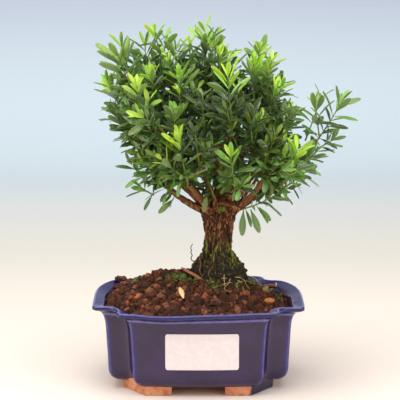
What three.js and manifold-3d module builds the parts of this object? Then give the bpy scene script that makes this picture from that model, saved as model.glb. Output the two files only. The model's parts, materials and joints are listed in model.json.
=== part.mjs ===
// A boxwood bonsai in its pot: a short fluted trunk under a round, dense crown of small leaves,
// standing in granular soil in a glazed oblong pot with notched corners and four feet.
// Millimetres, +Z up. The tree is laid out from the middle of the pot's underside, with the front
// at -Y, and the whole is moved at the end to stand centred over its own origin.
import * as THREE from "three";
import { OBB } from "three/addons/math/OBB.js";
import { mergeVertices } from "three/addons/utils/BufferGeometryUtils.js";
import Module from "manifold-3d";

const wasm = await Module();
wasm.setup();

// Driving dimensions of the pot
const RIM_LENGTH = 144;
const RIM_WIDTH = 120;
const POT_HEIGHT = 60;
const LIP_ROUNDNESS = 2.5;
const UNDERSIDE_Z = 6;
const FLOOR_Z = 11;
const DRAIN_HOLE_RADIUS = 7;
const DRAIN_HOLE_X = 28;
const CLEARANCE = 0.3;

// Driving dimensions of the tree
const TRUNK_X = 14;
const TRUNK_Y = 2;
const TRUNK_FOOT_RADIUS = 19;
const TRUNK_FOOT_Z = 40;
const CROWN_HEART = new THREE.Vector3(TRUNK_X, 0, 130);
const TWIG_RADIUS = 1.3;
const TWIG_ROOT = 2;
const STEM_RADIUS = 0.9;
const STEM_THINNING = 0.3;
const BLADE_THICKNESS = 0.8;
const YOUNG_LEAF = 15.5;
const LEAF_PAIRS = 6;

// Driving dimensions of the soil
const SOIL_EDGE_Z = 55.5;
const MOUND_HEIGHT = 19.5;
const GRANULE_PITCH = 9;
const GRANULE_RELIEF = 1.5;

const COLOURS = {
  glaze: { color: 0x2b2f66, roughness: 0.25, metalness: 0 },
  akadama: { color: 0x6b3a24, roughness: 0.95, metalness: 0 },
  bark: { color: 0x7a5230, roughness: 0.9, metalness: 0 },
  leaf: { color: 0x3f6f2c, roughness: 0.5, metalness: 0 },
  youngLeaf: { color: 0x86b52c, roughness: 0.5, metalness: 0 },
  mesh: { color: 0x20241f, roughness: 0.6, metalness: 0 },
  wire: { color: 0xa8a9ab, roughness: 0.35, metalness: 1 },
  paper: { color: 0xf3efec, roughness: 0.7, metalness: 0 },
  wood: { color: 0x9a6038, roughness: 0.9, metalness: 0 },
  husk: { color: 0xd9b382, roughness: 0.8, metalness: 0 },
};

const vec = (x, y, z) => new THREE.Vector3(x, y, z);

// A repeatable number from 0 to 1 for a seed
const chance = (seed) => {
  const s = Math.sin(seed * 12.9898) * 43758.5453;
  return s - Math.floor(s);
};

// Solids and geometries

const solidOf = (geometry) => {
  const bare = geometry.clone();
  bare.deleteAttribute("normal");
  bare.deleteAttribute("uv");
  const merged = mergeVertices(bare, 1e-4);
  const mesh = new wasm.Mesh({
    numProp: 3,
    vertProperties: new Float32Array(merged.attributes.position.array),
    triVerts: new Uint32Array(merged.index.array),
  });
  return new wasm.Manifold(mesh);
};

const geometryOf = (solid) => {
  const mesh = solid.getMesh();
  const geometry = new THREE.BufferGeometry();
  geometry.setAttribute("position", new THREE.BufferAttribute(new Float32Array(mesh.vertProperties), 3));
  geometry.setIndex(new THREE.BufferAttribute(new Uint32Array(mesh.triVerts), 1));
  geometry.computeVertexNormals();
  return geometry;
};

const joined = (solids) => solids.reduce((whole, piece) => whole.add(piece));

const geometryFrom = (points, faces) => {
  const geometry = new THREE.BufferGeometry();
  const numbers = points.flatMap((p) => [p.x, p.y, p.z]);
  geometry.setAttribute("position", new THREE.Float32BufferAttribute(numbers, 3));
  geometry.setIndex(faces.flat());
  return geometry;
};

// A closed skin through rings of equally many points, each counter-clockwise about the way they follow
const loft = (rings) => {
  const sides = rings[0].length;
  const points = rings.flat();
  const faces = [];
  for (let level = 0; level + 1 < rings.length; level++) {
    for (let i = 0; i < sides; i++) {
      const a = level * sides + i;
      const b = level * sides + ((i + 1) % sides);
      faces.push([a, b, b + sides], [a, b + sides, a + sides]);
    }
  }
  const last = (rings.length - 1) * sides;
  if (sides <= 6) {
    for (let i = 1; i + 1 < sides; i++) faces.push([0, i + 1, i], [last, last + i, last + i + 1]);
    return geometryFrom(points, faces);
  }
  const middle = (ring) => ring.reduce((sum, p) => sum.add(p), vec(0, 0, 0)).divideScalar(sides);
  const start = points.push(middle(rings[0])) - 1;
  const end = points.push(middle(rings[rings.length - 1])) - 1;
  for (let i = 0; i < sides; i++) {
    const next = (i + 1) % sides;
    faces.push([start, next, i], [end, last + i, last + next]);
  }
  return geometryFrom(points, faces);
};

// The axis that a straight line between two points lies well off, from which its sides are turned
const sidewaysOf = (start, end) => {
  const way = end.clone().sub(start).normalize();
  return Math.abs(way.y) < 0.75 ? vec(0, 1, 0) : vec(1, 0, 0);
};

// Directions along a way and, at right angles, across and upward
const frameAlong = (way, sideways) => {
  const along = way.clone().normalize();
  const across = sideways.clone().cross(along).normalize();
  return { along, across, upward: along.clone().cross(across) };
};

// A tube through stations, each with its point, direction and radius
const tube = (stations, sides) => {
  const sideways = sidewaysOf(stations[0].point, stations[stations.length - 1].point);
  const rings = stations.map(({ point, way, radius }) => {
    const { across, upward } = frameAlong(way, sideways);
    return Array.from({ length: sides }, (_, k) => {
      const turn = (2 * Math.PI * k) / sides;
      return point
        .clone()
        .addScaledVector(across, radius * Math.cos(turn))
        .addScaledVector(upward, radius * Math.sin(turn));
    });
  });
  return solidOf(loft(rings));
};

// Stations along a curve up to a share of it, its radius going evenly from the first to the last
const stationsOn = (curve, steps, end, firstRadius, lastRadius) =>
  Array.from({ length: steps + 1 }, (_, i) => ({
    point: curve.getPoint((i / steps) * end),
    way: curve.getTangent((i / steps) * end),
    radius: firstRadius + ((lastRadius - firstRadius) * i) / steps,
  }));

// The pot

// Each corner: how far the long side beside it bows out in its middle, how far the notch reaches along X
// and Y, the radii of the hollow in it, how much wider than the others its shoulder and the corner of the
// end are rounded, the degrees at which that corner's points stand, and where the sides have points
const FRONT_CORNER = {
  bow: 4,
  notch: [17, 16.5],
  hollow: [7, 8],
  shoulder: [0, 0],
  sweep: [0, 0],
  degrees: [0, 45, 90],
  endPoints: [18],
  sidePoints: [28, 14],
};
const BACK_CORNER = {
  bow: 2,
  notch: [23, 13.5],
  hollow: [9, 7.5],
  shoulder: [3, 2.5],
  sweep: [11.5, 38],
  degrees: [0, 22.5, 45, 67.5, 90],
  endPoints: [],
  sidePoints: [14],
};
const END_BOW = 1.4;
const SWEEP_DEPTH = 34;

// How far a point of a side is bowed out that lies so far from the side's middle
const bowAt = (bow, inset, distance, reach) =>
  bow * (1 - inset / SWEEP_DEPTH) * Math.max(0, 1 - (distance / reach) ** 2);

// A quarter of the pot's outline, from the middle of the +X end to the middle of the +Y side
const quarterOutline = (corner, inset, roundness) => {
  const [notchX, notchY] = corner.notch;
  const length = RIM_LENGTH / 2 - END_BOW - inset;
  const width = RIM_WIDTH / 2 - corner.bow - inset;
  const [sideX, sideY] = [length - notchX, width - notchY];
  const share = 1 - inset / SWEEP_DEPTH;
  const wider = 0.8 * (roundness - LIP_ROUNDNESS);
  const [endX, endY] = corner.sweep.map((more) => roundness + more * share);
  const [shoulderX, shoulderY] = corner.shoulder.map((more) => roundness + more * share);
  const hollowX = Math.min(corner.hollow[0] + wider, notchX - endX - 0.2);
  const hollowY = corner.hollow[1] + wider;
  const fit = Math.min(1, (notchY - 0.3) / (shoulderY + hollowY));
  const arc = (x, y, radiusX, radiusY, degrees) =>
    degrees.map((degree) => {
      const turn = THREE.MathUtils.degToRad(degree);
      return [x + radiusX * Math.cos(turn), y + radiusY * Math.sin(turn)];
    });
  const points = [
    ...corner.endPoints.map((y) => [length, y]),
    ...arc(length - endX, sideY - endY, endX, endY, corner.degrees),
    ...arc(sideX + hollowX, sideY + hollowY * fit, hollowX, hollowY * fit, [270, 225, 180]),
    ...arc(sideX - shoulderX, width - shoulderY * fit, shoulderX, shoulderY * fit, [0, 45, 90]),
    ...corner.sidePoints.map((x) => [x, width]),
  ];
  return points.map(([x, y]) => [
    x + bowAt(END_BOW, inset, y, sideY),
    y + bowAt(corner.bow, inset, x, sideX),
  ]);
};

// An oblong outline with bowed sides and a notch at each corner, its ends swept round to the back,
// counter-clockwise
const notchedOutline = (inset, roundness, z) => {
  const turned = (corner, signX, signY) =>
    quarterOutline(corner, inset, roundness).map(([x, y]) => vec(x * signX, y * signY, z));
  return [
    ...turned(BACK_CORNER, 1, 1),
    ...turned(BACK_CORNER, -1, 1).reverse(),
    ...turned(FRONT_CORNER, -1, -1),
    ...turned(FRONT_CORNER, 1, -1).reverse(),
  ];
};

// Height, inset from the rim's outline and corner rounding, up the outside of the wall
const OUTER_WALL = [
  [UNDERSIDE_Z, 17, 3],
  [6.8, 13.8, 3.5],
  [9, 11.4, 4],
  [13.5, 9.8, 4],
  [46, 8.1, 4],
  [52.3, 6.7, 3.5],
  [55.8, 4, 3],
  [57, 0.9, LIP_ROUNDNESS],
  [58.8, 0, LIP_ROUNDNESS],
  [POT_HEIGHT, 1.2, LIP_ROUNDNESS],
];

// The same up the inside, from the floor to the open mouth and on past the top of the soil
const INNER_WALL = [
  [FLOOR_Z, 17.5, 3],
  [15, 14.6, 4],
  [49, 12, 5],
  [55, 9, 6.5],
  [58.2, 6.8, 7],
  [POT_HEIGHT + 1, -1, 3],
  [2 * POT_HEIGHT, -1, 3],
];

// The space inside the wall, drawn in by a gap on the floor and sides
const cavity = (gap) => {
  const rings = INNER_WALL.map(([z, inset, roundness]) =>
    notchedOutline(inset + gap, roundness, z === FLOOR_Z ? z + gap : z),
  );
  return solidOf(loft(rings));
};

// One foot under a corner, as drawn for the +X +Y corner: an arm along each side and a slanted outer face
const FOOT_OUTLINE = [
  [17, 43],
  [17, 32],
  [29, 32],
  [41, 18],
  [41, 9],
  [52, 9],
  [52, 21.5],
  [35.5, 43],
];
const FOOT_MIDDLE = [34.5, 29];
const FOOT_TAPER = 0.93;
const FOOT_TOP_Z = 12.5;

const footAt = (signX, signY) => {
  const corners = FOOT_OUTLINE.map(([x, y]) => new THREE.Vector2(x * signX, y * signY));
  const outline = new THREE.Shape(corners);
  const foot = new THREE.ExtrudeGeometry(outline, { depth: FOOT_TOP_Z, bevelEnabled: false });
  const points = foot.attributes.position;
  const [middleX, middleY] = [FOOT_MIDDLE[0] * signX, FOOT_MIDDLE[1] * signY];
  for (let i = 0; i < points.count; i++) {
    const share = points.getZ(i) === 0 ? FOOT_TAPER : 1;
    points.setX(i, middleX + (points.getX(i) - middleX) * share);
    points.setY(i, middleY + (points.getY(i) - middleY) * share);
  }
  return solidOf(foot);
};

const drainHole = (x) => {
  const hole = new THREE.CylinderGeometry(DRAIN_HOLE_RADIUS, DRAIN_HOLE_RADIUS, 2 * FLOOR_Z, 12);
  hole.rotateX(Math.PI / 2).translate(x, 0, FLOOR_Z);
  return solidOf(hole);
};

const potSolid = () => {
  const rings = OUTER_WALL.map(([z, inset, roundness]) => notchedOutline(inset, roundness, z));
  const feet = [footAt(1, 1), footAt(-1, 1), footAt(-1, -1), footAt(1, -1)];
  return joined([solidOf(loft(rings)), ...feet])
    .subtract(cavity(0))
    .subtract(drainHole(DRAIN_HOLE_X))
    .subtract(drainHole(-DRAIN_HOLE_X));
};

// Drainage: a plastic mesh over each hole, held by a bent wire

const MESH_SIDE = 21;
const MESH_THICKNESS = 1;
const MESH_PITCH = 6;
const MESH_OPENING = 4;
const MESH_Z = FLOOR_Z + CLEARANCE;
const WIRE_RADIUS = 0.6;
const WIRE_BEND = 0.6;
const WIRE_TAIL = 7;
const WIRE_Z = MESH_Z + MESH_THICKNESS + CLEARANCE + WIRE_RADIUS;
const RECESS_TOP = WIRE_Z + WIRE_RADIUS + CLEARANCE;

const meshSolid = (x) => {
  const middleZ = MESH_Z + MESH_THICKNESS / 2;
  const block = (side, thickness, cx, cy) =>
    solidOf(new THREE.BoxGeometry(side, side, thickness).translate(x + cx, cy, middleZ));
  const steps = [-MESH_PITCH, 0, MESH_PITCH];
  const plate = block(MESH_SIDE, MESH_THICKNESS, 0, 0);
  return steps
    .flatMap((cx) => steps.map((cy) => block(MESH_OPENING, 2 * MESH_THICKNESS, cx, cy)))
    .reduce((rest, opening) => rest.subtract(opening), plate);
};

// The wire bridges the mesh, comes down through two of its openings and is bent outward under the pot
const wireSolid = (x) => {
  const [left, right] = [x - MESH_PITCH, x + MESH_PITCH];
  const under = UNDERSIDE_Z - CLEARANCE - WIRE_RADIUS;
  const path = [
    vec(left - WIRE_TAIL, 0, under),
    vec(left + WIRE_BEND / 2, 0, under),
    vec(left, 0, under + WIRE_BEND),
    vec(left, 0, WIRE_Z - WIRE_BEND),
    vec(left + WIRE_BEND, 0, WIRE_Z),
    vec(right - WIRE_BEND, 0, WIRE_Z),
    vec(right, 0, WIRE_Z - WIRE_BEND),
    vec(right, 0, under + WIRE_BEND),
    vec(right - WIRE_BEND / 2, 0, under),
    vec(right + WIRE_TAIL, 0, under),
  ];
  const stations = path.map((point, i) => {
    const before = path[Math.max(i - 1, 0)];
    const after = path[Math.min(i + 1, path.length - 1)];
    return { point, way: after.clone().sub(before), radius: WIRE_RADIUS };
  });
  return tube(stations, 6);
};

// The soil

// How far the mound spreads from its middle before it has fallen by about half, and how that fall goes
const MOUND_MIDDLE = [2, 3];
const MOUND_SPREAD = { left: 47, right: 36, front: 34, back: 31 };
const MOUND_FALL = 0.64;
const MOUND_STEEPNESS = 1.85;

// Height of the mounded soil, without its granules: nearly level in the middle and steep near the wall
const moundHeight = (x, y) => {
  const [middleX, middleY] = MOUND_MIDDLE;
  const across = (x - middleX) / (x < middleX ? MOUND_SPREAD.left : MOUND_SPREAD.right);
  const deep = (y - middleY) / (y < middleY ? MOUND_SPREAD.front : MOUND_SPREAD.back);
  const away = Math.pow(across * across + deep * deep, MOUND_STEEPNESS);
  return SOIL_EDGE_Z + MOUND_HEIGHT * Math.exp(-MOUND_FALL * away);
};

// The slab's points stand in rows of triangles, every other one raised to the crest of a granule

const soilSlab = () => {
  const step = GRANULE_PITCH / 2;
  const rowStep = step * Math.sqrt(0.75);
  const columns = Math.ceil(RIM_LENGTH / step);
  const rows = Math.ceil(RIM_WIDTH / rowStep);
  const top = [];
  for (let row = 0; row <= rows; row++) {
    for (let column = 0; column <= columns; column++) {
      const seed = row * 97 + column;
      const crest = row % 2 === 0 && (column + (row % 4 ? 1 : 0)) % 2 === 0;
      const shift = row % 2 ? 0.5 : 0;
      const x = (column - columns / 2 + shift + 0.5 * (chance(seed) - 0.5)) * step;
      const y = (row - rows / 2) * rowStep + 0.5 * (chance(seed + 0.3) - 0.5) * step;
      const lift = crest ? 0.5 + chance(seed + 0.6) * 0.7 : -0.7 + chance(seed + 0.6) * 0.5;
      top.push(vec(x, y, moundHeight(x, y) + GRANULE_RELIEF * lift));
    }
  }
  const count = top.length;
  const points = [...top, ...top.map((p) => vec(p.x, p.y, 0))];
  const wide = columns + 1;
  const faces = [];
  const addCell = (a, b, c) => faces.push([a, b, c], [count + a, count + c, count + b]);
  for (let row = 0; row < rows; row++) {
    for (let column = 0; column < columns; column++) {
      const a = row * wide + column;
      const [b, c, d] = [a + 1, a + wide, a + wide + 1];
      if (row % 2) {
        addCell(a, b, d);
        addCell(a, d, c);
      } else {
        addCell(a, b, c);
        addCell(b, d, c);
      }
    }
  }
  const rim = [];
  for (let column = 0; column < columns; column++) rim.push(column);
  for (let row = 0; row < rows; row++) rim.push(row * wide + columns);
  for (let column = columns; column > 0; column--) rim.push(rows * wide + column);
  for (let row = rows; row > 0; row--) rim.push(row * wide);
  rim.forEach((a, i) => {
    const b = rim[(i + 1) % rim.length];
    faces.push([count + a, count + b, b], [count + a, b, a]);
  });
  return solidOf(geometryFrom(points, faces));
};

const soilSolid = () => {
  const radius = TRUNK_FOOT_RADIUS + CLEARANCE;
  const depth = 80;
  const trunkHole = new THREE.CylinderGeometry(radius, radius, depth, 24);
  trunkHole.rotateX(Math.PI / 2).translate(TRUNK_X, TRUNK_Y, TRUNK_FOOT_Z - CLEARANCE + depth / 2);
  const recess = (x) => {
    const side = MESH_SIDE + 2 * CLEARANCE;
    const room = new THREE.BoxGeometry(side, side, 2 * (RECESS_TOP - FLOOR_Z));
    return solidOf(room.translate(x, 0, FLOOR_Z));
  };
  return soilSlab()
    .intersect(cavity(CLEARANCE))
    .subtract(solidOf(trunkHole))
    .subtract(recess(DRAIN_HOLE_X))
    .subtract(recess(-DRAIN_HOLE_X));
};

// The trunk, its limbs and twigs

// Height, radius and depth of the flutes up the trunk
const TRUNK_PROFILE = [
  [TRUNK_FOOT_Z, TRUNK_FOOT_RADIUS - 1.5, 0],
  [43, TRUNK_FOOT_RADIUS, 0],
  [76, TRUNK_FOOT_RADIUS, 0],
  [80, 17.4, 0.06],
  [84, 14.2, 0.1],
  [88, 11.3, 0.13],
  [94, 9.5, 0.14],
  [103, 8.8, 0.12],
  [111, 9, 0.12],
  [118, 10.8, 0.13],
  [124, 9.5, 0.1],
  [129, 5, 0],
];
const TRUNK_SIDES = 20;

const trunkCore = () => {
  const rings = TRUNK_PROFILE.map(([z, radius, flute]) =>
    Array.from({ length: TRUNK_SIDES }, (_, i) => {
      const turn = (2 * Math.PI * i) / TRUNK_SIDES;
      const ripple = Math.cos(5 * turn + 0.02 * z) + 0.6 * Math.cos(8 * turn + 1);
      const r = Math.min(radius * (1 + flute * ripple), TRUNK_FOOT_RADIUS);
      return vec(TRUNK_X + r * Math.cos(turn), TRUNK_Y + r * Math.sin(turn), z);
    }),
  );
  return solidOf(loft(rings));
};

// Each limb's four Bezier points and its radius where it leaves the trunk
const LIMBS = [
  { points: [[9, -4, 117], [-9, -10, 126], [-26, -14, 135], [-37, -17, 166]], radius: 3 },
  { points: [[7, 0, 115], [-4, 4, 134], [-28, 10, 150], [-38, 8, 202]], radius: 2.7 },
  { points: [[11, -4, 118], [6, -8, 146], [-6, -16, 172], [-14, -14, 208]], radius: 2.5 },
  { points: [[14, 1, 120], [16, 2, 150], [8, 2, 180], [8, 2, 216]], radius: 2.8 },
  { points: [[18, -6, 116], [27, -14, 134], [20, -28, 150], [21, -40, 180]], radius: 2.6 },
  { points: [[19, 3, 117], [34, 8, 140], [44, 6, 165], [44, -2, 206]], radius: 2.7 },
  { points: [[19, -2, 114], [36, -6, 130], [60, -8, 140], [76, -8, 160]], radius: 2.7 },
  { points: [[13, -4, 122], [14, -14, 131], [22, -19, 124], [29, -20.5, 123.5]], radius: 1.9 },
  { points: [[10, -6, 116], [0, -24, 134], [-14, -36, 148], [-22, -40, 176]], radius: 2.3 },
  { points: [[18, -7, 115], [34, -24, 130], [46, -34, 142], [52, -36, 172]], radius: 2.3 },
  { points: [[10, 7, 115], [-4, 24, 134], [-26, 34, 150], [-38, 34, 186]], radius: 2.5 },
  { points: [[14, 8, 116], [14, 26, 140], [8, 40, 160], [4, 44, 196]], radius: 2.5 },
  { points: [[18, 7, 115], [34, 22, 134], [50, 32, 150], [58, 34, 184]], radius: 2.5 },
  { points: [[10, -8, 118], [10, -11, 121], [10.5, -12.5, 124], [11, -14, 127]], radius: 1.6 },
];
const LIMB_TIP_RADIUS = 1.5;

// Leafy shoots seen from the front: where the stem starts, where it ends, and its longest leaf
const FRONT_SHOOTS = [
  [-44, -17, 200, -52, -18, 224, 23],
  [-49, -8, 184, -60, -8, 206, 17],
  [-47, -16, 170, -56, -14, 189, 15],
  [-37, -34, 186, -40, -38, 208, 14],
  [-29, -24, 190, -31, -26, 213, 15],
  [-33, 0, 206, -36, 0, 230, 21],
  [-15, -9, 204, -15, -10, 228, 19],
  [7, -2, 210, 4, -5, 233, 21],
  [17, 10, 198, 17, 10, 224, 16],
  [22, -43, 180, 19, -48, 214, 21],
  [-9, -28, 188, -12, -32, 213, 17],
  [-17, -42, 166, -15, -47, 190, 17],
  [-7, -46, 146, -13, -53, 173, 19],
  [-38, -1, 158, -50, -3, 178, 16],
  [-29, -22, 147, -38, -27, 164, 15],
  [-22, -6, 144, -36, -7, 154, 15],
  [44, 3, 202, 42, 5, 225, 19],
  [37, -20, 194, 37, -23, 219, 15],
  [46, -12, 190, 46, -15, 215, 15],
  [45, -27, 182, 51, -31, 205, 15],
  [54, -5, 163, 63, -5, 186, 15],
  [80, -8, 168, 96, -8, 194, 19],
  [56, -38, 144, 64, -47, 166, 19],
  [42, -38, 150, 49, -42, 174, 18],
  [24, -44, 142, 21, -54, 163, 16],
  [60, -14, 147, 77, -17, 159, 17],
  [57, -27, 139, 71, -27, 150, 16],
  [29.5, -21, 123.5, 52, -24, 134, 17],
  [11, -15, 130, 6, -25, 145, 18],
  [-14, -19, 133, -26, -24, 141, 15],
  [5, -36, 174, 2, -42, 200, 17],
  [35, -38, 168, 36, -43, 192, 17],
  [1, -44, 154, -2, -52, 178, 17],
];

// Shoots of the back, on three tiers round the crown: the tips' height, middle and reach, how many
// shoots there are and how long their stems are
const BACK_TIERS = [
  { height: 152, middleX: 18, reachX: 58, reachY: 50, count: 5, stem: 24 },
  { height: 186, middleX: 3, reachX: 60, reachY: 54, count: 7, stem: 27 },
  { height: 218, middleX: -2, reachX: 44, reachY: 34, count: 5, stem: 26 },
];

const backShoots = () =>
  BACK_TIERS.flatMap(({ height, middleX, reachX, reachY, count, stem }, tier) =>
    Array.from({ length: count }, (_, i) => {
      const seed = tier * 9 + i;
      const turn = (Math.PI * (i + 0.5 + 0.25 * (tier % 2))) / count;
      const tip = vec(
        middleX + reachX * Math.cos(turn),
        reachY * Math.sin(turn),
        height + 10 * (chance(seed) - 0.5),
      );
      const outward = tip.clone().sub(CROWN_HEART).normalize();
      const foot = tip.clone().addScaledVector(outward, -stem);
      return { foot, tip, leaf: 16 + 2 * chance(seed + 0.5) };
    }),
  );

const frontShoots = () =>
  FRONT_SHOOTS.map(([footX, footY, footZ, tipX, tipY, tipZ, leaf]) => ({
    foot: vec(footX, footY, footZ),
    tip: vec(tipX, tipY, tipZ),
    leaf,
  }));

const SHOOTS = [...frontShoots(), ...backShoots()];

// A stem leaves its foot low and curves up to its tip
const STEM_SAG = 0.1;

for (const shoot of SHOOTS) {
  const reach = shoot.tip.clone().sub(shoot.foot);
  const sag = STEM_SAG * Math.hypot(reach.x, reach.y);
  const bend = shoot.foot.clone().addScaledVector(reach, 0.5).add(vec(0, 0, -sag));
  shoot.stem = new THREE.QuadraticBezierCurve3(shoot.foot, bend, shoot.tip);
}

const stemFrame = ({ stem, foot, tip }, share) => ({
  point: stem.getPoint(share),
  ...frameAlong(stem.getTangent(share), sidewaysOf(foot, tip)),
});

// How far up its stem a pair of leaves stands
const FIRST_PAIR = 0.14;
const pairShare = (pair) => FIRST_PAIR + ((1 - FIRST_PAIR) * pair) / (LEAF_PAIRS - 1);

// The limb that a shoot's twig grows from, and how far along it: the nearest place, where a place
// that the twig would have to turn back from counts as further off
const LIMB_BARE = 0.3;
const TURN_COST = 1.2;

const originOf = (shoot) => {
  let best = { cost: Infinity };
  for (const limb of LIMBS) {
    for (let share = LIMB_BARE; share < 1.01; share += 0.1) {
      const point = limb.curve.getPoint(share);
      const way = shoot.foot.clone().sub(point);
      const length = way.length();
      const turn = 1 - way.normalize().dot(limb.curve.getTangent(share));
      const cost = length * (1 + TURN_COST * turn);
      if (cost < best.cost) best = { cost, limb, share, point };
    }
  }
  return best;
};

for (const limb of LIMBS) {
  limb.curve = new THREE.CubicBezierCurve3(...limb.points.map((p) => vec(...p)));
  limb.end = LIMB_BARE;
}

// The twig from a limb to just short of a shoot's foot
const TWIG_HANDLE = 0.35;

for (const shoot of SHOOTS) {
  const { limb, share, point } = originOf(shoot);
  limb.end = Math.max(limb.end, share);
  const arrival = shoot.stem.getTangent(0);
  const end = shoot.foot.clone().addScaledVector(arrival, -CLEARANCE);
  const departure = limb.curve.getTangent(share);
  const start = point.clone().addScaledVector(departure, -TWIG_ROOT);
  const span = end.distanceTo(start);
  const leave = start.clone().addScaledVector(departure, TWIG_HANDLE * span);
  const arrive = end.clone().addScaledVector(arrival, -TWIG_HANDLE * span);
  shoot.twig = new THREE.CubicBezierCurve3(start, leave, arrive, end);
  shoot.twigSteps = span > 20 ? 3 : 2;
}

const trunkSolid = () => {
  const limbs = LIMBS.map(({ curve, end, radius }) => {
    const steps = Math.max(2, Math.round(5 * end));
    const lastRadius = radius + (LIMB_TIP_RADIUS - radius) * end;
    return tube(stationsOn(curve, steps, end, radius, lastRadius), 5);
  });
  const twigs = SHOOTS.map(({ twig, twigSteps }) =>
    tube(stationsOn(twig, twigSteps, 1, TWIG_RADIUS, STEM_RADIUS), 3),
  );
  return joined([trunkCore(), ...limbs, ...twigs]);
};

// Leaves

// Shares of a blade's length and half width at its broadest and at its blunt tip
const BLADE_BROADEST = [0.56, 1];
const BLADE_TIP = [0.97, 0.42];
const BLADE_DROOP = 0.13;
const BLADE_SLENDERNESS = 0.3;
const LEAF_ROOT = 1.3;

// Degrees a leaf leans off its stem, at the stem's foot and less by the second number at its tip, and
// how far its turn and lean stray
const LEAN_AT_FOOT = 68;
const LEAN_LOST = 42;
const TURN_STRAY = 16;
const LEAN_STRAY = 14;

// One leaf of a shoot. Pairs are counted up the stem, each a quarter turn on from the one before
const leafAt = (shoot, number, pair, side, turnBy, leanBy) => {
  const seed = number * 61 + pair * 2 + side;
  const share = pairShare(pair);
  const { point, along, across, upward } = stemFrame(shoot, share);
  const turnDegrees = 90 * pair + 180 * side + TURN_STRAY * (chance(seed) - 0.5) + turnBy;
  const leanDegrees = LEAN_AT_FOOT - LEAN_LOST * share + LEAN_STRAY * (chance(seed + 0.2) - 0.5) + leanBy;
  const turn = THREE.MathUtils.degToRad(turnDegrees);
  const lean = THREE.MathUtils.degToRad(leanDegrees);
  const outward = across.multiplyScalar(Math.cos(turn)).addScaledVector(upward, Math.sin(turn));
  const middling = 0.86 + 0.14 * Math.sin(Math.PI * share);
  const length = shoot.leaf * middling * (0.88 + 0.16 * chance(seed + 0.4));
  const axis = along.clone().multiplyScalar(Math.cos(lean)).addScaledVector(outward, Math.sin(lean));
  const face = along.clone().multiplyScalar(Math.sin(lean)).addScaledVector(outward, -Math.cos(lean));
  return {
    base: point.addScaledVector(outward, STEM_RADIUS * 0.6).addScaledVector(along, -LEAF_ROOT / 3),
    along: axis,
    across: face.clone().cross(axis),
    face,
    length,
    width: length * BLADE_SLENDERNESS,
  };
};

// The blade's points beyond its root: two at the broadest, two at the tip and the keel below
const bladePoints = ({ base, along, across, face, length, width }) => {
  const at = (share, side, lift) =>
    base
      .clone()
      .addScaledVector(along, share * length)
      .addScaledVector(across, (side * width) / 2)
      .addScaledVector(face, lift * BLADE_THICKNESS - BLADE_DROOP * length * share * share);
  const [broad, broadSide] = BLADE_BROADEST;
  const [tip, tipSide] = BLADE_TIP;
  return [
    at(broad, -broadSide, 0),
    at(broad, broadSide, 0),
    at(tip, -tipSide, 0),
    at(tip, tipSide, 0),
    at(broad, 0, -1),
  ];
};

// The box round a blade or a straight stretch of wood, by which crossings are found
const boxRound = (centre, axes, halves) => {
  const turn = new THREE.Matrix4().makeBasis(...axes);
  return new OBB(centre, vec(...halves), new THREE.Matrix3().setFromMatrix4(turn));
};

// A blade's box starts at a share of its length, so that blades of one shoot may meet at their roots
const boxOfBlade = ({ base, along, across, face, length, width }, from) => {
  const sink = (BLADE_DROOP * length) / 2;
  const centre = base
    .clone()
    .addScaledVector(along, (length * (1 + from)) / 2)
    .addScaledVector(face, -sink - BLADE_THICKNESS / 2);
  const halves = [(length * (1 - from)) / 2, width / 2 + 0.15, sink + BLADE_THICKNESS / 2 + 0.2];
  return boxRound(centre, [along, across, face], halves);
};

const boxesOfWood = (curve, steps, end, radius) =>
  Array.from({ length: steps }, (_, i) => {
    const start = curve.getPoint((i / steps) * end);
    const stop = curve.getPoint(((i + 1) / steps) * end);
    const { along, across, upward } = frameAlong(stop.clone().sub(start), sidewaysOf(start, stop));
    const centre = start.clone().add(stop).multiplyScalar(0.5);
    const reach = radius + CLEARANCE;
    return boxRound(centre, [along, across, upward], [start.distanceTo(stop) / 2, reach, reach]);
  });

const wood = [
  ...LIMBS.flatMap((limb) => boxesOfWood(limb.curve, 6, limb.end, limb.radius)),
  ...SHOOTS.flatMap(({ twig, twigSteps }) => boxesOfWood(twig, twigSteps, 1, TWIG_RADIUS)),
];
const stems = SHOOTS.map(({ stem }) => boxesOfWood(stem, 2, 1, STEM_RADIUS));
const placed = [];

// Turns and leans tried, in degrees, until a leaf is clear of the wood and of every other leaf
const WAYS_TO_BEND = [
  [0, 0],
  [20, 0],
  [-20, 0],
  [0, -20],
  [0, 16],
  [36, -12],
  [-36, -12],
  [32, 14],
  [-32, 14],
];

const clearLeaf = (shoot, number, pair, side) => {
  for (const [turnBy, leanBy] of WAYS_TO_BEND) {
    const leaf = leafAt(shoot, number, pair, side, turnBy, leanBy);
    const whole = boxOfBlade(leaf, 0);
    const outer = boxOfBlade(leaf, 0.25);
    const hitsWood = wood.some((box) => box.intersectsOBB(whole));
    const hitsStem = stems.some((boxes, other) =>
      boxes.some((box) => box.intersectsOBB(other === number ? outer : whole)),
    );
    const hitsLeaf = placed.some((other) =>
      other.number === number ? other.outer.intersectsOBB(outer) : other.whole.intersectsOBB(whole),
    );
    if (!hitsWood && !hitsStem && !hitsLeaf) {
      placed.push({ number, whole, outer });
      return leaf;
    }
  }
  return null;
};

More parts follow.
